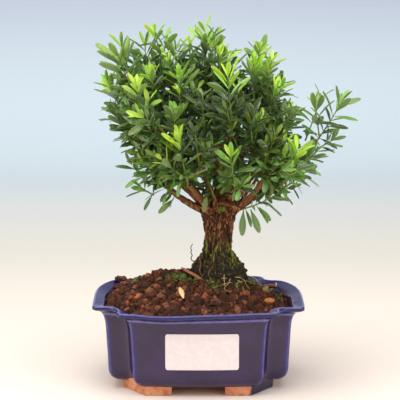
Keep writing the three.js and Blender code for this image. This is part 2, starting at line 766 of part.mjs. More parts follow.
// A shoot is a four-sided stem with a ring of points at its foot and at each pair of leaves. Both leaves
// of a pair grow out of opposite sides of the stretch below their ring
const spraySolid = (shoot, number) => {
  const shares = [0, ...Array.from({ length: LEAF_PAIRS }, (_, pair) => pairShare(pair))];
  const points = shares.flatMap((share) => {
    const { point, along, across, upward } = stemFrame(shoot, share);
    return [-45, 45, 135, 225].map((degrees) => {
      const turn = THREE.MathUtils.degToRad(degrees);
      const radius = STEM_RADIUS * (1 - STEM_THINNING * share);
      return point
        .clone()
        .addScaledVector(across, radius * Math.cos(turn))
        .addScaledVector(upward, radius * Math.sin(turn));
    });
  });
  const faces = [];
  for (let pair = 0; pair < LEAF_PAIRS; pair++) {
    for (let quarter = 0; quarter < 4; quarter++) {
      const [a, b] = [4 * pair + quarter, 4 * pair + ((quarter + 1) % 4)];
      const [c, d] = [b + 4, a + 4];
      const bears = (quarter - pair) % 2 === 0;
      const leaf = bears ? clearLeaf(shoot, number, pair, (quarter - pair) % 4 === 0 ? 0 : 1) : null;
      if (!leaf) {
        faces.push([a, b, c], [a, c, d]);
        continue;
      }
      const downward = points[a].clone().add(points[b]).sub(points[c]).sub(points[d]).setLength(LEAF_ROOT);
      const root = points[c].clone().add(points[d]).multiplyScalar(0.5).add(downward);
      const m = points.push(root) - 1;
      const blade = bladePoints(leaf).map((point) => points.push(point) - 1);
      const [left, right, tipLeft, tipRight, keel] = blade;
      faces.push([a, b, m], [b, c, m], [d, a, m]);
      faces.push([c, d, left], [c, left, right], [right, left, tipLeft], [right, tipLeft, tipRight]);
      faces.push([m, c, right], [d, m, left], [keel, m, right], [keel, right, tipRight]);
      faces.push([keel, tipRight, tipLeft], [keel, tipLeft, left], [keel, left, m]);
    }
  }
  const last = 4 * LEAF_PAIRS;
  faces.push([0, 3, 2], [0, 2, 1], [last, last + 1, last + 2], [last, last + 2, last + 3]);
  return solidOf(geometryFrom(points, faces));
};

// Small loose things on the soil, each a slim closed sliver lying along the mound's slope on its granules
const WOOD_CHIP = {
  x: -5,
  y: -11.5,
  heading: -38,
  rise: -14,
  length: 19,
  width: 3.4,
  thickness: 1.4,
  lift: 1.85,
};
const SEED_HUSK = {
  x: -11.4,
  y: -29,
  heading: -75,
  rise: 0,
  length: 11,
  width: 3.6,
  thickness: 1.2,
  lift: 0.95,
};

const sliverSolid = ({ x, y, heading, rise, length, width, thickness, lift }) => {
  const turn = THREE.MathUtils.degToRad(heading);
  const along = vec(Math.cos(turn), Math.sin(turn), 0);
  const groundAt = (d) => moundHeight(x + along.x * d, y + along.y * d);
  const slope = (groundAt(length / 2) - groundAt(-length / 2)) / length;
  along.z = slope + Math.tan(THREE.MathUtils.degToRad(rise));
  along.normalize();
  const across = vec(0, 0, 1).cross(along).normalize();
  const face = along.clone().cross(across);
  const centre = vec(x, y, moundHeight(x, y)).addScaledVector(face, lift + thickness / 2);
  const ring = (share, scale) =>
    [0, 90, 180, 270].map((degrees) => {
      const quarter = THREE.MathUtils.degToRad(degrees);
      return centre
        .clone()
        .addScaledVector(along, (share * length) / 2)
        .addScaledVector(across, (width * scale * Math.cos(quarter)) / 2)
        .addScaledVector(face, (thickness * scale * Math.sin(quarter)) / 2);
    });
  return solidOf(loft([ring(-1, 0.25), ring(-0.3, 1), ring(0.45, 0.85), ring(1, 0.2)]));
};

// A blank paper label lies against the front wall, which leans out as it rises
const LABEL = { length: 49, height: 25, thickness: 0.6, x: 2.5, z: 32.4 };
const LABEL_STRIPS = 7;

const labelSolid = () => {
  const [lowZ, lowInset] = OUTER_WALL[3];
  const [highZ, highInset] = OUTER_WALL[4];
  const slope = (lowInset - highInset) / (highZ - lowZ);
  const inset = lowInset - slope * (LABEL.z - lowZ);
  const width = RIM_WIDTH / 2 - FRONT_CORNER.bow - inset;
  const side = RIM_LENGTH / 2 - END_BOW - inset - FRONT_CORNER.notch[0];
  const knots = [0, ...FRONT_CORNER.sidePoints.toReversed()];
  const wallBow = (x) => {
    const i = Math.abs(x) < knots[1] ? 1 : 2;
    const [low, high] = [knots[i - 1], knots[i]].map((knot) => bowAt(FRONT_CORNER.bow, inset, knot, side));
    return low + ((high - low) * (Math.abs(x) - knots[i - 1])) / (knots[i] - knots[i - 1]);
  };
  const plate = new THREE.BoxGeometry(LABEL.length, LABEL.thickness, LABEL.height, LABEL_STRIPS, 1, 1);
  plate.rotateX(Math.atan(slope)).translate(LABEL.x, -width - CLEARANCE - LABEL.thickness / 2, LABEL.z);
  const points = plate.attributes.position;
  for (let i = 0; i < points.count; i++) points.setY(i, points.getY(i) - wallBow(points.getX(i)));
  return solidOf(plate);
};

// The object

const bonsai = new THREE.Group();
const addMesh = (name, solid, finish) => {
  const mesh = new THREE.Mesh(geometryOf(solid), new THREE.MeshStandardMaterial(finish));
  mesh.name = name;
  bonsai.add(mesh);
};

addMesh("pot", potSolid(), COLOURS.glaze);
addMesh("soil", soilSolid(), COLOURS.akadama);
addMesh("trunk", trunkSolid(), COLOURS.bark);
addMesh("drain_mesh_left", meshSolid(-DRAIN_HOLE_X), COLOURS.mesh);
addMesh("drain_mesh_right", meshSolid(DRAIN_HOLE_X), COLOURS.mesh);
addMesh("mesh_wire_left", wireSolid(-DRAIN_HOLE_X), COLOURS.wire);
addMesh("mesh_wire_right", wireSolid(DRAIN_HOLE_X), COLOURS.wire);
addMesh("blank_label", labelSolid(), COLOURS.paper);
addMesh("wood_chip", sliverSolid(WOOD_CHIP), COLOURS.wood);
addMesh("seed_husk", sliverSolid(SEED_HUSK), COLOURS.husk);
SHOOTS.forEach((shoot, i) => {
  const name = `leafy_shoot_${String(i + 1).padStart(2, "0")}`;
  const finish = shoot.leaf < YOUNG_LEAF ? COLOURS.youngLeaf : COLOURS.leaf;
  addMesh(name, spraySolid(shoot, i), finish);
});

const bounds = new THREE.Box3().setFromObject(bonsai);
const middle = bounds.getCenter(new THREE.Vector3());
bonsai.position.set(-middle.x, -middle.y, 0);

export default bonsai;
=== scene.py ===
"""A boxwood bonsai in its glazed pot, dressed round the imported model.

Lengths are millimetres from the middle of the pot's underside, with the front at -Y, until Place turns
them into metres of the frame.
"""

import json
import logging
import math
import random
from dataclasses import dataclass, field
from enum import Enum
from typing import Any, Callable, Iterable, Sequence

import bmesh
import bpy
from mathutils import Matrix, Vector, noise
from mathutils.geometry import interpolate_bezier

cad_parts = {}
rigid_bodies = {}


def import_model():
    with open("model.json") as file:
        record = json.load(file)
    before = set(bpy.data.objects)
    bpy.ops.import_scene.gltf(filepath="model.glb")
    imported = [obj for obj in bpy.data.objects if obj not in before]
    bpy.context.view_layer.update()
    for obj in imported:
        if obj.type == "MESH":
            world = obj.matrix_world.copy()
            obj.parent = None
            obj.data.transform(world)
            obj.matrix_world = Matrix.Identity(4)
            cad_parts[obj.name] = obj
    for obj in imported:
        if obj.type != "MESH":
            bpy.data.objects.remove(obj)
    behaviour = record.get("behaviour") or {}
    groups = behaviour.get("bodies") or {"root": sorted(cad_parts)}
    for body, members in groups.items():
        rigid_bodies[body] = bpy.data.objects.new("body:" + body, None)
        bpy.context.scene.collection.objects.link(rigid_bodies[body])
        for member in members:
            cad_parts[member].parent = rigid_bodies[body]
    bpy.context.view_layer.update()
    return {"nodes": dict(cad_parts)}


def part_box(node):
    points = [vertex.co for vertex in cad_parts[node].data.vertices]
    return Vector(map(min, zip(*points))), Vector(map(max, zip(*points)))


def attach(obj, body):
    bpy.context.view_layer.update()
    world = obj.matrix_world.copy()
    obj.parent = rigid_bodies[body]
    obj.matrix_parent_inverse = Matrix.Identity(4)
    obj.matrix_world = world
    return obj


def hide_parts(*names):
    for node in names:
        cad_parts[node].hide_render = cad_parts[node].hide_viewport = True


LOG = logging.getLogger("bonsai")
BODY = "root"
MM = 0.001
Triple = tuple[float, float, float]
Colour = Triple
Inputs = dict[str | int, Any]


def chance(seed: float) -> float:
    """A repeatable number from 0 to 1 for a seed."""
    value = math.sin(seed * 12.9898) * 43758.5453
    return value - math.floor(value)


def mix(low: float, high: float, share: float) -> float:
    """The value that lies a share of the way from low to high."""
    return low + (high - low) * share


def eased(low: float, high: float, value: float) -> float:
    """0 below low, 1 above high and a smooth rise between them."""
    share = min(max((value - low) / (high - low), 0.0), 1.0)
    return share * share * (3 - 2 * share)


def linear(red: int, green: int, blue: int) -> Colour:
    """A colour as seen, 0 to 255 a channel, as the light values that shaders take."""
    def channel(value: int) -> float:
        """One channel as a light value."""
        share = value / 255
        return share / 12.92 if share <= 0.04045 else ((share + 0.055) / 1.055) ** 2.4
    return channel(red), channel(green), channel(blue)


@dataclass(frozen=True)
class Place:
    """Where the middle of the pot's underside lies in the frame, in metres."""

    middle: Vector

    def at(self, point: Vector) -> Vector:
        """A point in millimetres from the pot's middle, in metres of the frame."""
        return self.middle + point * MM

    def back(self, point: Vector) -> Vector:
        """A point of the frame in millimetres from the pot's middle."""
        return (point - self.middle) / MM


@dataclass
class Station:
    """A place along a rod: its middle, its radius and how green the skin is there, from 0 to 1."""

    point: Vector
    radius: float
    green: float = 0.0


class Draft:
    """Points, faces and marks in millimetres, on their way to becoming a mesh."""

    def __init__(self) -> None:
        """Starts with nothing drawn."""
        self.points: list[Vector] = []
        self.edges: list[tuple[int, int]] = []
        self.faces: list[tuple[int, ...]] = []
        self.marks: dict[str, list[Any]] = {}

    def add(self, points: Iterable[Vector], **marks: float) -> list[int]:
        """Adds points that share the same marks.

        Args:
            points: The points to add.
            marks: A value for each named mark, kept on every point.

        Returns:
            The numbers of the new points.
        """
        first = len(self.points)
        self.points.extend(points)
        for name, value in marks.items():
            self.marks.setdefault(name, [0.0] * first).extend([value] * (len(self.points) - first))
        return list(range(first, len(self.points)))

    def skin(self, rings: Sequence[Sequence[int]]) -> None:
        """Joins each ring of points to the next with quads, facing away from the line they follow."""
        sides = len(rings[0])
        for low, high in zip(rings, rings[1:]):
            for i in range(sides):
                j = (i + 1) % sides
                self.faces.append((low[i], low[j], high[j], high[i]))

    def close(self, rings: Sequence[Sequence[int]]) -> None:
        """Closes the first and the last of a row of rings with a flat face each."""
        self.faces.append(tuple(reversed(rings[0])))
        self.faces.append(tuple(rings[-1]))

    def rod(self, stations: Sequence[Station], sides: int) -> None:
        """Adds a closed round rod through its stations.

        Args:
            stations: The places that the rod passes through.
            sides: How many sides its section has.
        """
        rings = []
        across = None
        for i, station in enumerate(stations):
            before = stations[max(i - 1, 0)].point
            after = stations[min(i + 1, len(stations) - 1)].point
            way = (after - before).normalized()
            if across is None:
                across = way.orthogonal().normalized()
            across = (across - way * across.dot(way)).normalized()
            upward = way.cross(across)
            turns = [math.tau * k / sides for k in range(sides)]
            rings.append(self.add(
                station.point + (across * math.cos(t) + upward * math.sin(t)) * station.radius for t in turns
            ))
        self.skin(rings)
        self.close(rings)

    def chain(self, points: Sequence[Vector], marks: dict[str, Sequence[Any]]) -> None:
        """Adds a row of points joined by edges, each with its own marks.

        Args:
            points: The points, in order.
            marks: For each mark a value for each point.
        """
        numbers = self.add(points)
        self.edges.extend(zip(numbers, numbers[1:]))
        for name, values in marks.items():
            self.marks.setdefault(name, []).extend(values)

    def build(self, name: str, place: Place, *finishes: Any, smooth: bool = True) -> bpy.types.Object:
        """Makes the mesh and links its object to the scene.

        Args:
            name: The object's name.
            place: Where the millimetres are counted from.
            finishes: What it is dressed in.
            smooth: Whether its faces are shaded smooth.

        Returns:
            The new object, at the origin.
        """
        mesh = bpy.data.meshes.new(name)
        mesh.from_pydata([place.at(point) for point in self.points], self.edges, self.faces)
        for mark, values in self.marks.items():
            wide = isinstance(values[0], Vector)
            layer = mesh.attributes.new(mark, "FLOAT_VECTOR" if wide else "FLOAT", "POINT")
            flat = [number for value in values for number in value] if wide else values
            layer.data.foreach_set("vector" if wide else "value", flat)
        if smooth:
            mesh.shade_smooth()
        for finish in finishes:
            mesh.materials.append(finish.material())
        piece = bpy.data.objects.new(name, mesh)
        bpy.context.scene.collection.objects.link(piece)
        return piece


def baked(piece: bpy.types.Object) -> bpy.types.Object:
    """Turns a piece with modifiers into a plain mesh.

    Args:
        piece: The object, with its modifiers live.

    Returns:
        The same object with the result as its mesh and no modifiers.
    """
    graph = bpy.context.evaluated_depsgraph_get()
    shape = piece.evaluated_get(graph)
    mesh = bpy.data.meshes.new_from_object(shape, preserve_all_data_layers=True, depsgraph=graph)
    piece.modifiers.clear()
    piece.data = mesh
    return piece


def interpolated(points: Sequence[Vector], steps: int) -> list[Vector]:
    """A smooth row of points through the given ones, with so many steps between two of them.

    Args:
        points: The points it passes through.
        steps: How many steps lie between two of them.

    Returns:
        The row, with the last of the given points at its end.
    """
    smooth = []
    for i in range(len(points) - 1):
        before, low = points[max(i - 1, 0)], points[i]
        high, after = points[i + 1], points[min(i + 2, len(points) - 1)]
        for step in range(steps):
            t = step / steps
            smooth.append(0.5 * (
                2 * low + (high - before) * t + (2 * before - 5 * low + 4 * high - after) * t * t
                + (3 * low - before - 3 * high + after) * t ** 3
            ))
    return smooth + [points[-1]]


def settle(piece: bpy.types.Object, slot: str, stands_for: Sequence[str] = ()) -> None:
    """Gives a finished piece to its body, and reports it.

    Args:
        piece: The finished object.
        slot: The record's material slot; not used.
        stands_for: The nodes of the model that it replaces.
    """
    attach(piece, BODY)
    if stands_for:
        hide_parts(*stands_for)
    nodes = ", ".join(stands_for) or "no node"
    LOG.info("%s: %d faces, stands for %s", piece.name, len(piece.data.polygons), nodes)


class Socket(Enum):
    """The kinds of input that a recipe takes."""

    FLOAT = "NodeSocketFloat"
    INT = "NodeSocketInt"
    MATERIAL = "NodeSocketMaterial"
    COLLECTION = "NodeSocketCollection"


class Tree:
    """A node tree with short ways to add to it."""

    def __init__(self, tree: bpy.types.NodeTree) -> None:
        """Takes up a tree."""
        self.tree = tree

    def plug(self, node: bpy.types.Node, inputs: Inputs) -> None:
        """Links or sets a node's inputs.

        Args:
            node: The node.
            inputs: For each input, by name or by number among those in use, a node, a socket or a value.
        """
        used = [socket for socket in node.inputs if socket.enabled]
        for key, value in inputs.items():
            socket = used[key] if isinstance(key, int) else next(s for s in used if s.name == key)
            if isinstance(value, bpy.types.Node):
                value = next(s for s in value.outputs if s.enabled)
            if isinstance(value, bpy.types.NodeSocket):
                self.tree.links.new(value, socket)
            else:
                socket.default_value = value

    def add(self, kind: str, inputs: Inputs | None = None, **settings: Any) -> bpy.types.Node:
        """Adds a node.

        Args:
            kind: The node's type.
            inputs: What goes into its inputs.
            settings: Its own properties.

        Returns:
            The node. Where it is put into an input, its first output in use counts.
        """
        node = self.tree.nodes.new(kind)
        for name, value in settings.items():
            setattr(node, name, value)
        self.plug(node, inputs or {})
        return node

    def sum(self, operation: str, *values: Any) -> bpy.types.Node:
        """A sum of one, two or three numbers."""
        return self.add("ShaderNodeMath", dict(enumerate(values)), operation=operation)

    def times(self, first: Any, second: Any) -> bpy.types.Node:
        """One number times another."""
        return self.sum("MULTIPLY", first, second)


class Recipe(Tree):
    """A Geometry Nodes group with named inputs, which is cooked into a plain mesh."""

    def __init__(self, name: str, **takes: Socket) -> None:
        """Opens a group.

        Args:
            name: The group's name.
            takes: Its inputs besides the geometry, each with its kind.
        """
        super().__init__(bpy.data.node_groups.new(name, "GeometryNodeTree"))
        sockets = self.tree.interface
        sockets.new_socket("Geometry", in_out="INPUT", socket_type="NodeSocketGeometry")
        sockets.new_socket("Geometry", in_out="OUTPUT", socket_type="NodeSocketGeometry")
        self.keys = {
            take: sockets.new_socket(take, in_out="INPUT", socket_type=kind.value).identifier
            for take, kind in takes.items()
        }
        self.entry = self.add("NodeGroupInput")

    def given(self, name: str) -> bpy.types.NodeSocket:
        """The group's own input of that name."""
        return self.entry.outputs[name]

    def mark(self, name: str, kind: str = "FLOAT") -> bpy.types.Node:
        """A named mark of the geometry as a field."""
        return self.add("GeometryNodeInputNamedAttribute", {"Name": name}, data_type=kind)

    def draw(self, low: Any, high: Any, salt: int) -> bpy.types.Node:
        """A random number between low and high for each element, from the group's seed and a salt."""
        seed = self.sum("ADD", self.given("Seed"), salt)
        return self.add("FunctionNodeRandomValue", {"Min": low, "Max": high, "Seed": seed}, data_type="FLOAT")

    def stray(self, name: str, salt: int) -> bpy.types.Node:
        """A random number for each element, at most the named input to either side of 0."""
        reach = self.given(name)
        return self.draw(self.times(reach, -1.0), reach, salt)

    def turned(self, rotation: Any, **angles: Any) -> bpy.types.Node:
        """A rotation turned on by angles round its own axes."""
        turn = self.add("FunctionNodeEulerToRotation", {"Euler": self.add("ShaderNodeCombineXYZ", angles)})
        inputs = {"Rotation": rotation, "Rotate By": turn}
        return self.add("FunctionNodeRotateRotation", inputs, rotation_space="LOCAL")

    def pick(self, salt: int, share: Any = 1.0) -> bpy.types.Node:
        """The number of a random shape for each element, from the first share of those there are."""
        last = self.sum("SUBTRACT", self.given("Kinds"), 0.001)
        return self.sum("FLOOR", self.times(self.draw(0.0, last, salt), share))

    def plant(self, points: Any, shapes: str, placing: Inputs, salt: int) -> None:
        """Puts a shape at every point, gives each its own tint and ends the group.

        Args:
            points: The points.
            shapes: The input that holds the collection of shapes.
            placing: Which shape each point gets, with its rotation and scale.
            salt: What sets the tints' random numbers apart.
        """
        inputs = {"Collection": self.given(shapes), "Separate Children": True, "Reset Children": True}
        chosen = self.add("GeometryNodeCollectionInfo", inputs)
        inputs = {"Points": points, "Instance": chosen, "Pick Instance": True}
        pieces = self.add("GeometryNodeInstanceOnPoints", inputs | placing)
        inputs = {"Geometry": pieces, "Name": "tint", "Value": self.draw(0.0, 1.0, salt)}
        self.serve(self.add("GeometryNodeStoreNamedAttribute", inputs, data_type="FLOAT", domain="INSTANCE"))

    def serve(self, geometry: Any) -> None:
        """Ends the group: instances realised, and the finish set."""
        real = self.add("GeometryNodeRealizeInstances", {"Geometry": geometry})
        inputs = {"Geometry": real, "Material": self.given("Finish")}
        self.add("NodeGroupOutput", {"Geometry": self.add("GeometryNodeSetMaterial", inputs)})

    def cook(self, piece: bpy.types.Object, **values: Any) -> bpy.types.Object:
        """Runs the group on an object and keeps the result as its mesh.

        Args:
            piece: The object that holds the geometry to start from.
            values: A value for each of the group's inputs.

        Returns:
            The same object as a plain mesh.
        """
        modifier = piece.modifiers.new(self.tree.name, "NODES")
        modifier.node_group = self.tree
        for name, value in values.items():
            modifier[self.keys[name]] = value
        return baked(piece)


def rod_recipe() -> Recipe:
    """Rods of the radius marked on a chain of points, for stems, twigs and roots.

    Returns:
        The recipe.
    """
    recipe = Recipe("rods_on_chains", Sides=Socket.INT, Finish=Socket.MATERIAL)
    line = recipe.add("GeometryNodeMeshToCurve", {"Mesh": recipe.given("Geometry")})
    inputs = {"Resolution": recipe.given("Sides"), "Radius": 1.0}
    section = recipe.add("GeometryNodeCurvePrimitiveCircle", inputs)
    inputs = {"Curve": line, "Profile Curve": section, "Scale": recipe.mark("radius"), "Fill Caps": True}
    rods = recipe.add("GeometryNodeCurveToMesh", inputs)
    recipe.serve(rods)
    return recipe


def rods_of(draft: Draft, name: str, place: Place, rods: Recipe, sides: int, finish: Any) -> bpy.types.Object:
    """Turns a draft's chains of points into smooth rods.

    Args:
        draft: The chains, with their radius marked.
        name: The object's name.
        place: Where the millimetres are counted from.
        rods: The recipe for rods.
        sides: How many sides a rod has.
        finish: Its material.

    Returns:
        The finished piece.
    """
    piece = rods.cook(draft.build(name, place), Sides=sides, Finish=finish)
    piece.data.shade_smooth()
    return piece


def leaf_recipe() -> Recipe:
    """Opposite leaves at each marked point of a stem, each pair a quarter turn on from the last.

    Returns:
        The recipe.
    """
    recipe = Recipe(
        "leaf_pairs", Blades=Socket.COLLECTION, Kinds=Socket.INT, LeavesEach=Socket.INT,
        TurnStray=Socket.FLOAT, LeanStray=Socket.FLOAT, RollStray=Socket.FLOAT,
        LengthStray=Socket.FLOAT, Seed=Socket.INT, Finish=Socket.MATERIAL,
    )
    line = recipe.add("GeometryNodeMeshToCurve", {"Mesh": recipe.given("Geometry")})
    nodes = recipe.add("GeometryNodeCurveToPoints", {"Curve": line}, mode="EVALUATED")
    bare = recipe.add("FunctionNodeCompare", {0: recipe.mark("leaf"), 1: 1e-5}, operation="LESS_THAN")
    bearing = recipe.add("GeometryNodeDeleteGeometry", {"Geometry": nodes, "Selection": bare})
    inputs = {"Geometry": bearing, "Amount": recipe.given("LeavesEach")}
    paired = recipe.add("GeometryNodeDuplicateElements", inputs, domain="POINT")
    side = recipe.times(paired.outputs["Duplicate Index"], math.pi)
    turn = recipe.sum("ADD", side, recipe.sum("ADD", recipe.mark("turn"), recipe.stray("TurnStray", 1)))
    lean = recipe.sum("ADD", recipe.mark("lean"), recipe.stray("LeanStray", 2))
    across = recipe.mark("across", "FLOAT_VECTOR")
    inputs = {"Primary Axis": nodes.outputs["Tangent"], "Secondary Axis": across}
    stem = recipe.add("FunctionNodeAxesToRotation", inputs, primary_axis="Z", secondary_axis="X")
    upright = recipe.sum("SUBTRACT", lean, math.pi / 2)
    shortest = recipe.sum("SUBTRACT", 1.0, recipe.given("LengthStray"))
    age = recipe.sum("SUBTRACT", 1.0, recipe.times(recipe.mark("youth"), 0.8))
    recipe.plant(paired, "Blades", {
        "Instance Index": recipe.pick(4, age),
        "Rotation": recipe.turned(stem, X=recipe.stray("RollStray", 6), Y=upright, Z=turn),
        "Scale": recipe.times(recipe.mark("leaf"), recipe.draw(shortest, 1.0, 3)),
    }, 5)
    return recipe


def scatter_recipe() -> Recipe:
    """Grains or tufts of several shapes, strewn over a surface at random sizes and turns.

    Returns:
        The recipe.
    """
    recipe = Recipe(
        "strewn_grains", Grains=Socket.COLLECTION, Kinds=Socket.INT, Spacing=Socket.FLOAT,
        Smallest=Socket.FLOAT, Largest=Socket.FLOAT, Tilt=Socket.FLOAT, Seed=Socket.INT,
        Finish=Socket.MATERIAL,
    )
    spacing = recipe.given("Spacing")
    inputs = {
        "Mesh": recipe.given("Geometry"), "Distance Min": spacing,
        "Density Max": recipe.sum("DIVIDE", 3.0, recipe.times(spacing, spacing)),
        "Density Factor": recipe.mark("cover"), "Seed": recipe.given("Seed"),
    }
    spots = recipe.add("GeometryNodeDistributePointsOnFaces", inputs, distribute_method="POISSON")
    lean = [recipe.times(recipe.given("Tilt"), recipe.draw(-1.0, 1.0, salt)) for salt in (1, 2)]
    turn = recipe.draw(0.0, math.tau, 3)
    share = recipe.sum("POWER", recipe.draw(0.0, 1.0, 4), 1.8)
    inputs = {"Value": share, "To Min": recipe.given("Smallest"), "To Max": recipe.given("Largest")}
    recipe.plant(spots, "Grains", {
        "Instance Index": recipe.pick(5),
        "Rotation": recipe.turned(spots.outputs["Rotation"], X=lean[0], Y=lean[1], Z=turn),
        "Scale": recipe.times(recipe.add("ShaderNodeMapRange", inputs), recipe.mark("coarse")),
    }, 6)
    return recipe


class Sheet(Tree):
    """The node tree of one material, with short ways to add to it."""

    def __init__(self, name: str) -> None:
        """Opens a material with a plain shader."""
        self.material = bpy.data.materials.new(name)
        self.material.use_nodes = True
        super().__init__(self.material.node_tree)
        self.skin = self.tree.nodes["Principled BSDF"]

    def spot(self, stretch: Triple = (1, 1, 1)) -> bpy.types.Node:
        """The place on the piece in millimetres, divided along each axis by a stretch."""
        coordinates = self.add("ShaderNodeTexCoord").outputs["Object"]
        scale = tuple(1 / (MM * length) for length in stretch)
        return self.add("ShaderNodeMapping", {"Vector": coordinates, "Scale": scale})

    def along(self, axis: str) -> bpy.types.NodeSocket:
        """The place along one axis in millimetres."""
        return self.add("ShaderNodeSeparateXYZ", {"Vector": self.spot()}).outputs[axis]

    def tones(self, value: Any, *stops: tuple[float, Colour]) -> bpy.types.NodeSocket:
        """A colour from a row of them, each at its own place from 0 to 1.

        Args:
            value: What picks the colour, from 0 to 1.
            stops: The places with their colours, from the lowest place up.

        Returns:
            The socket of the picked colour.
        """
        node = self.add("ShaderNodeValToRGB", {0: value})
        band = node.color_ramp.elements
        for number, (place, colour) in enumerate(stops):
            stop = band[number] if number < len(band) else band.new(place)
            stop.position = place
            stop.color = (*colour, 1.0)
        return node.outputs["Color"]

    def mark(self, name: str) -> bpy.types.NodeSocket:
        """A mark that the mesh carries."""
        return self.add("ShaderNodeAttribute", attribute_name=name).outputs["Fac"]

    def grain(self, size: float, detail: float = 3.0, stretch: Triple = (1, 1, 1)) -> bpy.types.Node:
        """Soft noise of a size in millimetres."""
        inputs = {"Vector": self.spot(stretch), "Scale": 1 / size, "Detail": detail}
        return self.add("ShaderNodeTexNoise", inputs)

    def between(self, value: Any, low: float, high: float) -> bpy.types.Node:
        """0 below low, 1 above high, smooth between them."""
        inputs = {"Value": value, "From Min": low, "From Max": high}
        return self.add("ShaderNodeMapRange", inputs, interpolation_type="SMOOTHSTEP")

    def strayed(self, value: Any, size: float, reach: float) -> bpy.types.Node:
        """A value with soft noise of a size in millimetres, at most half the reach to either side."""
        return self.sum("ADD", value, self.sum("MULTIPLY_ADD", self.grain(size), reach, -reach / 2))

    def blend(self, share: Any, first: Any, second: Any, most: float = 1.0) -> bpy.types.Node:
        """The first colour turning into the second as share goes from 0 to 1.

        Args:
            share: How far it turns.
            first: A colour.
            second: Another colour.
            most: What the share is multiplied by.

        Returns:
            The colour between them.
        """
        colours = [(*c, 1.0) if isinstance(c, tuple) else c for c in (first, second)]
        factor = share if most == 1.0 else self.times(share, most)
        inputs = {"Factor": factor, "A": colours[0], "B": colours[1]}
        return self.add("ShaderNodeMix", inputs, data_type="RGBA")

    def bump(self, height: Any, depth: float) -> None:
        """Raises the skin by a height from 0 to 1, at most by a depth in millimetres."""
        inputs = {"Height": height, "Distance": depth * MM, "Strength": 1.0}
        self.plug(self.skin, {"Normal": self.add("ShaderNodeBump", inputs)})

    def done(self, colour: Any, roughness: Any, **constants: Any) -> bpy.types.Material:
        """Sets the skin's colour, roughness and plain values.

        Args:
            colour: The base colour.
            roughness: A socket or a number.
            constants: Further values of the shader, with _ for spaces.

        Returns:
            The material.
        """
        inputs = {"Base Color": colour, "Roughness": roughness}
        self.plug(self.skin, inputs | {name.replace("_", " "): value for name, value in constants.items()})
        return self.material


@dataclass(frozen=True)
class Glaze:
    """Dark violet-grey glaze, bluer on the lip, with a few darker specks; pale where it runs thin off the
    corner edges, with a painted highlight added there, and pale as a painted highlight along the lip's crest
    and as a painted reflection in a band under the lip.
    """

    deep: Colour = linear(26, 5, 52)
    full: Colour = linear(38, 13, 64)
    lip: Colour = linear(9, 5, 72)
    # Pale glaze where it runs thin at the corner edges, also the colour of the painted highlights and of the
    # painted reflection under the lip.
    thin: Colour = linear(126, 122, 176)
    edge: Colour = linear(22, 16, 112)
    speck: Colour = linear(6, 4, 40)

    def material(self) -> bpy.types.Material:
        """The glaze, with the pot's marks thin, lip and specked read from its mesh."""
        sheet = Sheet("blue_glaze")
        cloud = sheet.between(sheet.grain(14, 4), 0.35, 0.7)
        colour = sheet.blend(cloud, self.deep, self.full)
        colour = sheet.blend(sheet.mark("lip"), colour, self.lip)
        dots = sheet.between(sheet.grain(1.1, 1), 0.53, 0.6)
        specks = sheet.times(sheet.between(sheet.mark("specked"), 0.2, 0.9), dots)
        colour = sheet.blend(specks, colour, self.speck, 0.8)
        # This mask holds the thin glaze of the corner edges together with the painted highlights on the lip's
        # crest and corners and the painted reflection band under the lip.
        worn = sheet.strayed(sheet.mark("thin"), 5, 0.4)
        colour = sheet.blend(sheet.between(worn, 0.1, 0.5), colour, self.edge, 0.6)
        colour = sheet.blend(sheet.between(worn, 0.45, 1.1), colour, self.thin, 0.75)
        sheet.bump(sheet.grain(9, 2), 0.25)
        roughness = sheet.sum("MULTIPLY_ADD", sheet.grain(3), 0.08, 0.1)
        return sheet.done(colour, roughness, Specular_IOR_Level=0.6)


@dataclass(frozen=True)
class BareClay:
    """Fired clay without glaze, with a glazed stretch where the mesh is marked."""

    clay: Colour = linear(206, 140, 101)
    scorched: Colour = linear(170, 98, 66)
    pit: Colour = linear(96, 56, 40)
    glaze: Colour = linear(34, 26, 52)

    def material(self) -> bpy.types.Material:
        """The clay of the feet."""
        sheet = Sheet("bare_clay")
        colour = sheet.blend(sheet.between(sheet.grain(4, 5), 0.4, 0.75), self.clay, self.scorched)
        pits = sheet.between(sheet.grain(0.7, 2), 0.62, 0.7)
        colour = sheet.blend(pits, colour, self.pit)
        glazed = sheet.between(sheet.strayed(sheet.mark("glazed"), 3, 0.16), 0.45, 0.55)
        sheet.bump(sheet.times(sheet.grain(0.6, 4), sheet.sum("SUBTRACT", 1.0, glazed)), 0.2)
        roughness = sheet.sum("MULTIPLY_ADD", glazed, -0.7, 0.88)
        return sheet.done(sheet.blend(glazed, colour, self.glaze), roughness)


